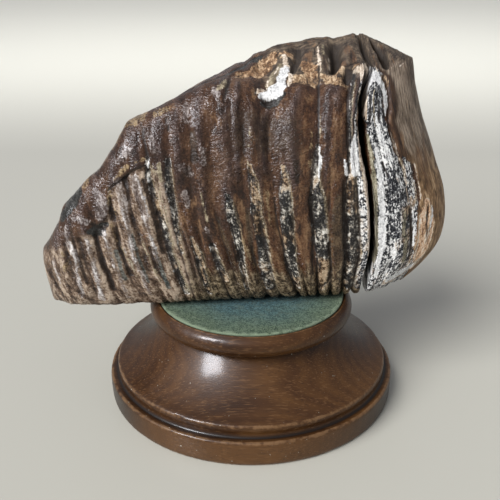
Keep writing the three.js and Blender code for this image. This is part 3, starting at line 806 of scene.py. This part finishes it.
# strokes over the crown: nodes of plate, degrees round the section from the flank, and half width in mm
crownStrokes = dict(
    sponge=(
        ((8.72, 72, 1.2), (8.88, 78, 3), (9.12, 78, 4.4), (9.48, 78, 5.2), (9.8, 87, 5.8),
         (9.98, 97, 4.8), (10.15, 104, 2.6)), ((10.3, 104, 1), (10.55, 101, 1.9), (10.62, 96, 1)),
        ((13.97, 97, 0.7), (14, 88, 0.8)),
        ((10.74, 88, 1.6), (10.84, 84, 2.8), (10.9, 77, 3.6), (10.94, 69, 3)),
        ((13.85, 52, 0.9), (13.97, 50, 1), (14.08, 46, 0.7))),
    crust=(
        ((8.84, 68, 1.2), (9.1, 70, 1.6), (9.38, 71, 1.2)),
        ((10.48, 64, 1.6), (10.62, 67, 2.4), (10.8, 66, 2.6), (11.04, 64, 2.2)),
        ((11.16, 68, 0.9), (11.38, 63, 1.8), (11.6, 61, 2), (11.95, 58, 1.2)),
        ((11.5, 66, 0.8), (11.6, 71, 1.4), (11.74, 73, 1.5), (11.76, 65, 1.1)),
        ((13.74, 54, 0.4), (14.03, 51, 0.5), (14.12, 47, 0.4)),
        ((13.85, 104, 0.4), (13.94, 96, 0.9), (13.82, 87, 0.6)), ((12.05, 72, 0.7), (12.35, 75, 0.7)),
        ((10.3, 98, 0.8), (10.52, 97, 0.8))),
    cream=(
        ((10.38, 100, 0.8), (10.41, 93, 1.2), (10.43, 84, 1.4), (10.43, 76, 1.4)),
        ((11.12, 104, 0.4), (11.11, 93, 0.6), (11.14, 81, 0.6), (11.17, 73, 0.4)),
        ((11.41, 91, 0.35), (11.42, 82, 0.55), (11.41, 75, 0.35)),
        ((12.14, 68, 0.9), (12.45, 67, 2), (12.85, 67, 2), (13.03, 67, 0.8)),
        ((12.56, 64, 2.2), (12.57, 58, 0.8)), ((13.54, 62, 0.8), (13.61, 57, 0.9)),
        ((10.2, 74, 0.4), (10.24, 82, 0.4)), ((14.5, 56, 0.3), (14.66, 60, 0.45))),
    tan=(
        ((10.05, 62, 1.5), (10.15, 68, 2.2), (10.24, 77, 1.9), (10.31, 88, 1)),
        ((11.24, 104, 0.8), (11.24, 90, 0.8))),
    shade=(
        ((11.25, 88, 0.5), (11.27, 78, 0.8), (11.3, 70, 0.7)),
        ((10.52, 84, 0.9), (10.58, 78, 1.2), (10.56, 75, 0.8))),
    slate=(
        ((8.99, 98, 1), (9.26, 104, 2.2), (9.7, 106, 2), (9.78, 109, 1.4)),
        ((9.7, 99, 1.4), (9.5, 101, 1.6)),
        ((5.5, 63, 0.4), (5.9, 64, 0.8), (6.65, 65.5, 1.1), (7.45, 68, 1.3), (8.05, 72, 1.5),
         (8.45, 80, 1.8), (8.75, 90, 1.9), (9, 96, 1.6))),
    crack=(
        ((11.02, 95, 0.4), (11.03, 104, 0.5), (11.16, 107, 0.4), (11.19, 114, 0.4)),
        ((11.92, 71, 2.2), (11.93, 64, 2.3)), ((10.24, 102, 0.5), (10.29, 98, 0.5)),
        ((11.84, 75, 0.5), (12.22, 78, 0.8), (13.05, 71, 0.8), (13.25, 62, 0.9)),
        ((12.62, 121, 0.4), (12.75, 112, 0.4)), ((12.16, 68, 0.3), (12.22, 62, 0.4), (12.4, 59, 0.4)),
        ((11.22, 84, 0.3), (11.3, 76, 0.35))),
)
strokeSoftness = dict(sheenRidges=1.5, crack=0.35)  # half the width of their edge in mm; paints has the others
# how high in mm each kind of fine relief stands, or with a minus how deep it lies
reliefHeight = dict(coat=1.1, waves=1.2, lumps=1.0, ribs=0.5, crinkle=0.3, pits=-1.3, flutes=0.7,
                    laminae=0.45, striae=0.22, enamel=-0.9, shadowedSeam=-0.5)
# how deep in mm each kind of stroke sinks, or with a minus how far it stands proud
strokeDepth = dict(sheenRidges=-0.7, crack=0.8, shade=0.5, orange=0.2, shine=-0.35, tan=-0.3, glint=-0.3,
                   gold=-0.1, white=0.3, sponge=0.9, crust=0.3, slate=0.4)
# hollows, and with a minus ribs, over the crown: depth in mm, then nodes as above
crownForms = (
    (3.6, ((10.68, 126, 2.6), (10.67, 110, 3), (10.67, 102, 2.6), (10.63, 92, 2.2),
           (10.58, 80, 1.6), (10.56, 75, 1))),
    (6.8, ((11.57, 126, 2.6), (11.6, 110, 3.2), (11.6, 100, 3.2), (11.6, 88, 2.8),
           (11.54, 77, 2), (11.47, 70, 1.1))),
    (3.4, ((13.12, 112, 2.4), (13.08, 95, 3.4), (13.22, 80, 3.4), (13.32, 69, 2))),
    (7.5, ((13.84, 104, 1.6), (13.95, 95, 3.6), (14.06, 85, 5.6), (14.1, 75, 6), (14.1, 66, 4.6))),
    (2.2, ((11.88, 69, 1.4), (11.91, 63, 1.8))),
    (-1.4, ((11.18, 112, 1.6), (11.22, 96, 2), (11.26, 80, 1.8))),
    (-2, ((12.24, 118, 4), (12.16, 104, 4.2), (12.05, 90, 3.6), (11.95, 82, 2.6))),
    (-1.5, ((13.72, 106, 1.4), (13.89, 96, 1.7), (13.89, 83, 1.7), (13.8, 74, 1.2))),
    (-1.2, ((13.95, 56, 0.9), (14.23, 54.5, 1), (14.41, 56.5, 1), (14.64, 63, 1), (14.9, 82, 1))),
    (-1.2, ((12.3, 70, 1.2), (12.8, 72, 2.4), (13.08, 67, 1.3))),
    (-1, ((10.4, 108, 2.2), (10.42, 98, 2))),
)
degreesAt = np.degrees(angleAt) + 0 * rise
# a ground: length along it at each plate, mm up it or round it, and mm for one step of a node's height
flankGround = (flankLength, formPoints[..., 2], 1)
crownGround = (crownLength, degreesAt * coverShape["degree"], coverShape["degree"])


def strokeParts(nodes, ground):
    # for each stretch of a stroke: how far places are from its middle line, and its half width there, in mm
    lengths, up, lift = ground
    along = lengths[:, None]
    nodes = [(np.interp(plate, plateAt[:, 0], lengths), height * lift, half) for plate, height, half in nodes]
    for (u0, v0, half0), (u1, v1, half1) in zip(nodes, nodes[1:]):
        du, dv = u1 - u0, v1 - v0
        t = np.clip(((along - u0) * du + (up - v0) * dv) / (du * du + dv * dv), 0, 1)
        yield np.hypot(along - u0 - t * du, up - v0 - t * dv), half0 + (half1 - half0) * t


def paintedBy(lines, ground, ragged, soft):
    inside = np.full(ragged.shape, -9.0)
    for nodes in lines:
        for distance, half in strokeParts(nodes, ground):
            inside = np.maximum(inside, half * (1 + ragged) - distance + 0.4 * ragged)
    return smooth(inside, -soft, soft)


def blurred(values, times):
    for _ in range(times):
        padded = np.concatenate([values[:1], values, values[-1:]], 0)
        values = (padded[:-2] + 2 * values + padded[2:]) / 4
        values = (np.roll(values, 1, 1) + 2 * values + np.roll(values, -1, 1)) / 4
    return values


def mottle(maps, wide, tall, seed, octaves=3):
    # noise over the surface, in patches that are so many mm wide and tall
    return cloud(maps["u"] / wide, maps["v"] / tall, 0 * maps["u"], seed, octaves)


def paintBands(maps, z):
    u, v = maps["u"], maps["v"]
    maps.update({key: 0 * z for key in ("enamel", "pale", "warm", "edge", "shadowedSeam", "muted")})
    for number, band in enumerate(bands):
        at, heights, half, white, ochre = np.array(band[::-1]).T
        half = np.interp(z, heights, half)
        drift = 0.7 * cloud(v / 9, 0 * v, 0 * v + number, 63, 2)
        ragged = 0.35 * cloud(u / 5, v / 5, 0 * u + number, 64, 3)
        side = u - np.interp(np.interp(z, heights, at), plateAt[:, 0], flankLength) + drift
        inside = np.minimum(half * (1 + ragged) - np.abs(side), heights[-1] + 1.5 - z + 5 * ragged)
        inside = smooth(np.minimum(inside, z - heights[0] + 1.5), -0.5, 0.5) * maps["facing"]
        muted = float(number < coverShape["mutedBands"])
        for key, value in (("pale", np.interp(z, heights, white)), ("warm", np.interp(z, heights, ochre)),
                           ("muted", muted)):
            maps[key] = maps[key] * (1 - inside) + value * inside
        maps["enamel"] = np.maximum(maps["enamel"], inside)
        # a pale line along the band's right side, and along its left a sunken seam that the skin paints dark
        # as a painted shadow
        if number < coverShape["edgedBands"]:
            within = smooth(heights[-1] - z, 0, 4)
            for key, line in (("edge", bump(side - half, 0.55)), ("shadowedSeam", bump(side + half, 0.5))):
                maps[key] = np.maximum(maps[key], line * within * maps["facing"])


def toothMaps(cover):
    z = formPoints[..., 2]
    plate = plateAt + 0 * z
    facing = smooth(across, -0.2, 0.35)
    steps = np.linalg.norm(np.diff(formPoints, axis=1), axis=-1)
    v = np.pad(np.cumsum(steps, 1), ((0, 0), (1, 0)))
    maps = dict(u=flankLength[:, None] + 0 * z, v=v, facing=facing)
    wobble = 2.2 * mottle(maps, 7, 7, 61)
    streak = mottle(maps, 2.2, 16, 62)
    bareTop, soft = read(cover, "bare", plate) - 14 * (1 - facing), read(cover, "soft", plate)
    maps["bare"] = smooth((bareTop + wobble * (1 + soft / 9) - z) / soft, 0, 1)
    past = (plate - read(cover, "wall", z)) * 14 + 0.4 * wobble
    maps["wall"] = smooth(past, -0.4, 0.4)
    maps["redder"] = (1 - smooth(past, 2.0, 3.6)) * smooth(z, 124, 134)
    maps["golden"] = 1 - smooth(z + 0.8 * wobble, 120, 144)
    paintBands(maps, z)
    maps["enamel"] = maps["enamel"] * (1 - maps["wall"])
    ragged = 0.5 * mottle(maps, 2.4, 3.2, 65)
    onFlank, onCrown = facing * (1 - smooth(across, 0.15, -0.05)), smooth(degreesAt, 38, 46)
    for kinds, ground, share in ((strokes, flankGround, onFlank), (crownStrokes, crownGround, onCrown)):
        for kind, lines in kinds.items():
            soft = paints[kind][-1] if kind in paints else strokeSoftness[kind]
            painted = paintedBy(lines, ground, ragged, soft) * share
            maps[kind] = np.maximum(maps.get(kind, 0), painted)
    maps["calm"] = span(plate, 8, 9, 10.6, 11) * smooth(z, 130, 145)
    maps["shade"] = np.maximum(maps["shade"], 0.62 * maps["calm"] * (1 - smooth(rise, 0.75, 0.9)))
    maps["worn"] = maps["bare"] * (1 - smooth(plate + 0.1 * wobble, 5.6, 6.6))
    maps["dusty"] = smooth(90 + 11 * streak - z, 0, 24) * span(plate, 5, 7, 12.6, 13.2)
    maps["crown"] = (1 - smooth(across + 0.03 * wobble, 0.40, 0.60)) * smooth(rise, 0.5, 0.8)
    maps["crown"] = maps["crown"] * smooth(plate, 9.6, 10.2)
    patches = 0.7 * smooth(mottle(maps, 11, 26, 85), 0.05, 0.35) * smooth(plate, 5.5, 7)
    lower = span(plate, 7.5, 9, 12.4, 12.8) * (1 - smooth(z + 2 * wobble, 88, 112))
    maps["rust"] = np.maximum(maps["rust"], np.maximum(patches, lower))
    return maps


def toothRelief(maps, cover):
    # mm outward from the plain section
    plate = plateAt + 0 * rise
    u, v, bare, wall, crown = (maps[key] for key in ("u", "v", "bare", "wall", "crown"))
    enamel, white = maps["enamel"], maps["white"]
    left = 1 - smooth(plate, 5.8, 6.8)
    pastGap = smooth(plate, 12.95, 13.3)
    solid = np.maximum(wall, crown)
    shifted = plate - 0.4 * left
    number = np.floor(shifted)
    whole = number.astype(np.int64)
    jitter = 0.07 * latticeValue([whole, 0 * whole, 1], 71) + 0.06 * cloud(v / 14, 0 * v, number * 3.7, 72, 2)
    within = shifted - number
    within = within + jitter * (1 - np.abs(2 * within - 1))
    nearLine = np.minimum(within, 1 - within)
    # two narrow grooves a plate where it is bare, one broad hollow under the coat
    fades = [np.clip(0.85 + 0.9 * cloud(v / 12, number * 5.3, 0 * v + i, 73, 2), 0.1, 1.5) for i in range(2)]
    narrow = ((1 + 0.1 * left) * bump(nearLine, 0.10 + 0.08 * left) * fades[0]
              + (0.62 - 0.17 * left) * bump(within - 0.48 + 0.14 * left, 0.075) * fades[1])
    broad = bump(nearLine, 0.24) * (0.85 + 0.6 * cloud(v / 22, number * 2.3, 0 * v, 79, 2))
    broad = broad * (1 - 0.9 * smooth(rise, 0.55, 0.9) * (1 - smooth(plate, 8.5, 9.5)))
    broad = broad * (0.2 + 0.8 * smooth(plate, 5.6, 7))
    depth = read(cover, "depth", plate) * (1 - 0.4 * pastGap)
    deeper = read(cover, "deeper", plate) + cloud(u / 9, 0 * u, 0 * u, 80, 2)
    notch = 1 + groove["soleNotch"] * np.maximum(-rise, 0) ** 3 * deeper * (1 - pastGap)
    cut = depth * (narrow * bare * np.maximum(notch, 0) + broad * (1 - bare)) * (1 - 0.85 * solid)
    cut = cut * (1 - 0.9 * white)
    # crests of the coat, which the skin paints with a violet painted sheen; the raised ridge strokes on the
    # flank add to it
    crestSheen = smooth(nearLine, 0.2, 0.42) * (1 - bare) * (1 - solid)
    crestSheen = crestSheen * np.clip(0.75 + 1.2 * mottle(maps, 6, 16, 87), 0, 1) * (1 - 0.8 * maps["calm"])
    maps["crestSheen"] = np.maximum(crestSheen, 0.9 * maps["sheenRidges"])
    # where each kind of fine relief lies, and its pattern
    over = {**maps, "u": crownLength[:, None] + 0 * u}
    folds = cloud(u / 2.9 + 0.5 * mottle(maps, 8, 8, 82, 2), v / 4.6, 0 * u, 76, 2)
    fine = dict(
        coat=np.maximum(1 - bare, wall) * (1 - 0.35 * left),
        waves=mottle(maps, 13, 30, 74) * (1 - 0.5 * bare) * (1 - wall),
        lumps=(1.9 - smooth(plate, 0, 1.5)) * mottle(maps, 5, 8, 81) * bare * left,
        ribs=mottle(maps, 1.7, 11, 75) * np.maximum(enamel, 0.45 * bare) * (1 - 0.8 * white),
        crinkle=folds * (1 - 0.35 * bare) * (1 - solid) * (1 - enamel),
        pits=smooth(mottle(maps, 3.2, 3.2, 77), 0.02, 0.40) * np.maximum(maps["sponge"], maps["crust"]),
        flutes=mottle(over, 3.4, 30, 78) * crown,
        laminae=mottle(over, 9, 2.0, 84) * crown,
        striae=mottle(maps, 1.8, 30, 83) * wall,
        enamel=enamel * (1 - smooth(plate, 12.9, 13.1)) * (1 - 0.8 * white),
        shadowedSeam=maps["shadowedSeam"],
    )
    raised = sum(reliefHeight[key] * pattern for key, pattern in fine.items())
    sunk = sum(deep * maps[kind] for kind, deep in strokeDepth.items())
    furrows = 0 * u
    for deep, nodes in crownForms:
        furrows = furrows + deep * np.max([bump(*part) for part in strokeParts(nodes, crownGround)], 0)
    furrows = furrows * smooth(crownGround[1], 26, 33) * (1 - 0.85 * smooth(degreesAt, 100, 118))
    # painted shade in the furrows over the crown
    maps["furrowShade"] = smooth(furrows, 0.7, 2.8)
    return (raised - cut - sunk - furrows - 0.9) * rounding


def makeTooth(material):
    maps = toothMaps(coverShape)
    height = toothRelief(maps, coverShape)
    points = toothSection(plateAt, angleAt + 0 * plateAt, height)[0]
    shallow = height - blurred(height, 14)
    maps["hollow"] = np.clip(-shallow / 0.8, 0, 1)
    maps["proud"] = np.clip(shallow / 0.6, 0, 1)
    # the deep gap, which the skin paints near black as painted shade
    intoGap = splitInside(plateAt, points[..., 2]) - split["wall"] * 0.5
    maps["gapShade"] = smooth(intoGap, -0.015, 0.015) * splitEnds(np.maximum(rise, 0), across)
    masks = ("worn", "dusty", "redder", "golden", "crestSheen", "crown", "wall", "enamel", "pale", "warm",
             "muted", "edge", "shadowedSeam", "hollow", "proud", "furrowShade", "gapShade", "crack", *paints)
    fields = {key: maps[key].ravel() for key in masks}
    fields["grain"] = np.stack([maps["u"], maps["v"], 0 * height], -1).reshape(-1, 3) * mm
    points = points.reshape(-1, 3) * mm
    piece = meshFromArrays("tooth_fossil", points, gridFaces(*height.shape), material, fields)
    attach(piece, "root")
    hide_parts("mammoth_tooth")


# tooth: colours, each tone from dark to light by its place on a ramp
toothTones = dict(
    cement=((0.4, (0.015, 0.0072, 0.0042)), (0.46, (0.035, 0.0155, 0.0082)),
            (0.52, (0.063, 0.0292, 0.0148)), (0.6, (0.122, 0.064, 0.033))),
    # a painted violet sheen on the coat's crests
    crestSheen=((0.42, (0.02, 0.011, 0.009)), (0.5, (0.046, 0.029, 0.026)), (0.58, (0.115, 0.085, 0.083))),
    worn=((0.38, (0.022, 0.012, 0.0075)), (0.45, (0.064, 0.0375, 0.0235)),
          (0.512, (0.16, 0.107, 0.073)), (0.59, (0.43, 0.338, 0.258))),
    wall=((0.42, (0.056, 0.038, 0.026)), (0.5, (0.16, 0.118, 0.084)), (0.58, (0.35, 0.28, 0.215))),
    redder=((0.4, (0.018, 0.008, 0.004)), (0.6, (0.07, 0.032, 0.013))),
    golden=((0.42, (0.078, 0.04, 0.016)), (0.5, (0.225, 0.128, 0.058)), (0.58, (0.46, 0.315, 0.18))),
    crown=((0.43, (0.022, 0.014, 0.0095)), (0.48, (0.062, 0.043, 0.029)),
           (0.52, (0.105, 0.077, 0.053)), (0.57, (0.22, 0.165, 0.112))),
    dusty=((0.42, (0.016, 0.012, 0.008)), (0.5, (0.095, 0.07, 0.042)), (0.57, (0.3, 0.235, 0.15))),
    enamel=((0.42, (0.007, 0.008, 0.012)), (0.465, (0.022, 0.024, 0.032)), (0.5, (0.062, 0.065, 0.077)),
            (0.53, (0.17, 0.172, 0.178)), (0.565, (0.5, 0.5, 0.49)), (0.6, (0.9, 0.9, 0.9))),
    muted=((0.42, (0.013, 0.011, 0.009)), (0.47, (0.036, 0.031, 0.025)), (0.51, (0.088, 0.078, 0.06)),
           (0.55, (0.175, 0.155, 0.12)), (0.6, (0.4, 0.36, 0.29)), (0.66, (0.72, 0.69, 0.62))),
    ochre=((0.42, (0.022, 0.013, 0.008)), (0.47, (0.065, 0.04, 0.023)), (0.515, (0.145, 0.092, 0.051)),
           (0.56, (0.24, 0.16, 0.094)), (0.62, (0.44, 0.33, 0.22))),
)
toothColours = dict(
    # after the edge line: painted shade for hollows and seams, for the crown's furrows and for the deep gap
    edge=(0.33, 0.26, 0.165), paintedShade=(0.014, 0.0085, 0.006),
    furrowShade=(0.026, 0.0185, 0.013), gapShade=(0.004, 0.0035, 0.0035),
    # how much a noise moves the enamel's tone, and how that changes on muted bands
    specks=(1.3, -0.45), blots=(0.6, 0.1), patches=(0.3, 0.4), broad=(0.0, 0.3),
)
# what is painted, in the order it is laid: the dark, middle and light of its grain, how solid, how patchy,
# and how soft its edge is in mm
paints = dict(
    rust=((0.022, 0.0085, 0.0038), (0.092, 0.0405, 0.0175), (0.22, 0.128, 0.066), 0.75, 1.4, 1.2),
    shade=((0.012, 0.0068, 0.0045), (0.029, 0.0165, 0.01), (0.064, 0.039, 0.024), 1, 0.6, 0.6),
    slate=((0.008, 0.0077, 0.0072), (0.022, 0.0213, 0.02), (0.062, 0.06, 0.055), 1, 0.8, 0.6),
    teal=((0.018, 0.022, 0.021), (0.055, 0.07, 0.067), (0.2, 0.22, 0.21), 0.8, 1.5, 0.6),
    shine=((0.05, 0.034, 0.028), (0.122, 0.095, 0.088), (0.48, 0.44, 0.43), 0.75, 2.6, 1),
    umber=((0.016, 0.0095, 0.005), (0.043, 0.0275, 0.015), (0.09, 0.062, 0.036), 0.85, 1.2, 1.6),
    orange=((0.2, 0.085, 0.036), (0.78, 0.5, 0.3), (1, 0.92, 0.8), 1, 1.2, 1.2),
    glint=((0.1, 0.083, 0.074), (0.3, 0.27, 0.26), (0.78, 0.75, 0.74), 0.9, 3, 0.5),
    gold=((0.05, 0.029, 0.013), (0.145, 0.095, 0.048), (0.38, 0.28, 0.165), 0.85, 3.4, 0.9),
    khaki=((0.05, 0.044, 0.03), (0.185, 0.165, 0.112), (0.42, 0.38, 0.28), 0.95, 0.9, 0.4),
    sponge=((0.052, 0.023, 0.01), (0.215, 0.118, 0.056), (0.62, 0.44, 0.28), 1, 1.6, 0.8),
    crust=((0.05, 0.027, 0.014), (0.25, 0.155, 0.084), (0.64, 0.49, 0.33), 1, 2.4, 0.5),
    tan=((0.075, 0.055, 0.034), (0.2, 0.16, 0.102), (0.44, 0.38, 0.27), 0.85, 2.4, 0.5),
    cream=((0.2, 0.138, 0.1), (0.52, 0.425, 0.33), (0.82, 0.74, 0.65), 1, 0.5, 0.5),
    white=((0.38, 0.38, 0.385), (0.7, 0.705, 0.715), (0.9, 0.9, 0.9), 1, 0.6, 0.3),
)
beneathEnamel = ("rust", "umber", "shade", "slate", "teal", "shine")


def layPaint(look, kind, mixed, patch):
    dark, middle, light, solid, patchy, _ = paints[kind]
    tone = (mixed * 0.65 + patch * 0.35).ramp(((0.42, dark), (0.50, middle), (0.58, light)))
    eaten = (mixed - 0.5) * 2.5 + (patch - 0.5) * patchy
    here = look.field(kind)
    mask = (here + eaten).between(0.3, 0.8, 0.0, solid)
    look.paint(mask * here.between(0.02, 0.2), tone)


def makeToothSkin(tones, colours):
    look = Look("fossil_tooth")
    field, noise = look.field, look.noise
    grain = field("grain", "Vector")
    broad = noise(grain, 75.0, 4.0, stretch=(1, 0.45, 1))
    patch = noise(grain, 200.0, 4.0, 0.6, 0.4, (1, 0.6, 1))
    streak = noise(grain, 700.0, 4.0, 0.65, stretch=(1, 0.16, 1))
    speck = noise(grain, 980.0, 3.0, 0.65, 0.3, (1, 0.8, 1))
    mixed = streak * 0.4 + speck * 0.6
    # cement coat, dark violet brown, with a painted violet sheen on its crests
    tone = broad * 0.3 + patch * 0.35 + mixed * 0.35
    look.base = tone.ramp(tones["cement"])
    look.paint(field("crestSheen") * 0.8, tone.ramp(tones["crestSheen"]))
    # ridges laid bare, paler along their crests and darker in their hollows: partly polished wear, partly
    # painted highlight and painted shade
    crestLightHollowShade = field("proud") * 0.13 - field("hollow") * 0.06
    look.paint(field("worn"), (mixed * 0.5 + patch * 0.5 + crestLightHollowShade).ramp(tones["worn"]))
    # end wall and crown: greyer, finely striated
    wall = (streak * 0.6 + broad * 0.4).ramp(tones["wall"])
    wall = look.mix(field("redder"), wall, streak.ramp(tones["redder"]))
    wall = look.mix(field("golden"), wall, (streak * 0.4 + patch * 0.6).ramp(tones["golden"]))
    look.paint(field("wall"), wall)
    lamina = noise(grain, 620.0, 3.0, 0.6, 0.3, (0.25, 1, 1))
    look.paint(field("crown"), (mixed * 0.3 + lamina * 0.3 + patch * 0.4).ramp(tones["crown"]))
    flowing = noise(grain, 300.0, 3.0, 0.6, 0.3, (1, 0.14, 1)) * 0.5 + mixed * 0.5
    for kind in beneathEnamel:
        layPaint(look, kind, flowing if kind == "rust" else mixed, patch)
    blot = noise(grain, 330.0, 3.0, 0.6)
    dusty = (field("dusty") + patch * 1.4).between(0.85, 1.5, 0.0, 0.85)
    look.paint(dusty * field("dusty").between(0.0, 0.2), (mixed * 0.5 + blot * 0.5).ramp(tones["dusty"]))
    # enamel: black, grey, cream and white specks, calmer on the muted bands
    muted, shade = field("muted"), field("pale") * 0.11 + 0.508
    for grainy, key in ((mixed, "specks"), (blot, "blots"), (patch, "patches"), (broad, "broad")):
        usual, change = colours[key]
        shade = shade + (grainy - 0.5) * (muted * change + usual)
    enamel = look.mix(muted * 0.75, shade.ramp(tones["enamel"]), shade.ramp(tones["muted"]))
    ochre = (field("warm") + (patch - 0.5) * 2.5).between(0.2, 0.75)
    enamel = look.mix(ochre, enamel, shade.ramp(tones["ochre"]))
    look.paint((field("enamel") + mixed * 2.2).between(1.40, 1.70), enamel)
    look.paint(field("edge") * mixed.between(0.44, 0.54, 0.1, 0.9), colours["edge"])
    for kind in paints:
        if kind not in beneathEnamel:
            layPaint(look, kind, mixed, patch)
    # painted shade in hollows, along the band seams, in the furrows over the crown and in the deep gap, with
    # the dark of the cracks; hardly any on the white patches
    lessShadeOnWhite = field("white") * -0.85 + 1.0
    sunken = field("hollow").between(0.45, 1.0, 0.0, 0.75) * lessShadeOnWhite
    paintedShade = sunken.calc("ADD", field("crack") + field("shadowedSeam") * 0.8 * lessShadeOnWhite, True)
    look.paint(paintedShade * 0.9, colours["paintedShade"])
    look.paint(field("furrowShade") * 0.80, colours["furrowShade"])
    look.paint(field("gapShade"), colours["gapShade"])
    dull = field("crown")
    for name in ("wall", "sponge", "gapShade"):
        dull = dull.calc("MAXIMUM", field(name))
    gloss = dull * 0.34 + 0.25 + paintedShade * 0.25 + field("shade") * 0.10
    # creases of the coat, then the fine grain of enamel, worn ridges, wall and crown
    fold = noise(grain, 680.0, 2.0, 0.5, 0.8, (0.6, 1.2, 1))
    dot = noise(grain, 1250.0, 2.0, 0.6)
    wrinkled = (dull * -0.8 + 1.0) * (broad.between(0.40, 0.56, 0.3, 0.9) + field("crestSheen") * 0.5)
    crease = look.relief((fold + dot * 0.35) * wrinkled, 0.0009)
    rough = (field("enamel") + field("worn") * 0.6 + dull).calc("ADD", 0.1, True)
    fine = streak * 0.6 + speck + lamina * 1.5 * field("crown")
    return look.finished({
        "Roughness": gloss + speck.between(0.35, 0.65, -0.04, 0.12), "Specular IOR Level": 0.4,
        "Normal": look.relief(fine * rough, 0.0006, 1.0, crease),
    })


makeTooth(makeToothSkin(toothTones, toothColours))
print("tooth made")

# floor and light
roomSettings = dict(
    floorSize=14, floorColour=(0.48, 0.476, 0.43),
    floorSurface={"Roughness": 0.3, "Specular IOR Level": 0.25},
    sunFrom=(-0.56, -0.56, 0.62), sunSoftness=42, sunPower=4.4, sunColour=(1.0, 0.985, 0.96),
    skyColour=(0.93, 0.94, 1.0), skyStrength=0.38, aimedAt=0.1,
    # name, direction, distance, size, power, colour
    lamps=(("pane", (-0.62, -0.50, 0.62), 2.2, 0.7, 90, (0.94, 0.95, 1.0)),
           ("bounce", (0.9, -0.35, 0.35), 1.5, 1.0, 0.5, (1, 0.97, 0.93))),
    backdropSize=2.5, backdropPower=68, backdropPlace=(0, 1.3, 1.7), backdropTilt=65,
)


def makeLamp(name, kind, power, colour=(1, 1, 1)):
    lamp = bpy.data.lights.new(name, kind)
    lamp.energy, lamp.color = power, colour
    return placed(name, lamp)


def aim(light, direction, distance, height):
    length = math.sqrt(sum(d * d for d in direction))
    light.location = [d / length * distance for d in direction]
    light.rotation_euler = light.location.to_track_quat("Z", "Y").to_euler()
    light.location.z += height


def makeRoom(room):
    look = Look("pale_floor", room["floorColour"])
    half = room["floorSize"] / 2
    corners = [(-half, -half, 0), (half, -half, 0), (half, half, 0), (-half, half, 0)]
    floor = meshFromArrays("floor", corners, [(0, 1, 2, 3)], look.finished(room["floorSurface"]))
    sun = makeLamp("daylight", "SUN", room["sunPower"], room["sunColour"])
    sun.data.angle = math.radians(room["sunSoftness"])
    sun.visible_glossy = False
    aim(sun, room["sunFrom"], 2, room["aimedAt"])
    for name, start, far, size, power, colour in room["lamps"]:
        panel = makeLamp(name, "AREA", power, colour)
        panel.data.size = size
        panel.visible_glossy = name == "pane"
        panel.visible_diffuse = name != "pane"
        aim(panel, start, far, room["aimedAt"])
    # a wide lamp that faces away from the tooth and brightens only the floor behind it
    backdrop = makeLamp("backdrop", "AREA", room["backdropPower"])
    backdrop.data.size = room["backdropSize"]
    backdrop.location = room["backdropPlace"]
    backdrop.rotation_euler = (math.radians(room["backdropTilt"]), 0, 0)
    world = bpy.data.worlds.new("room")
    world.use_nodes = True
    background = world.node_tree.nodes["Background"]
    background.inputs["Color"].default_value = (*room["skyColour"], 1)
    background.inputs["Strength"].default_value = room["skyStrength"]
    bpy.context.scene.world = world


makeRoom(roomSettings)
print("room lit")
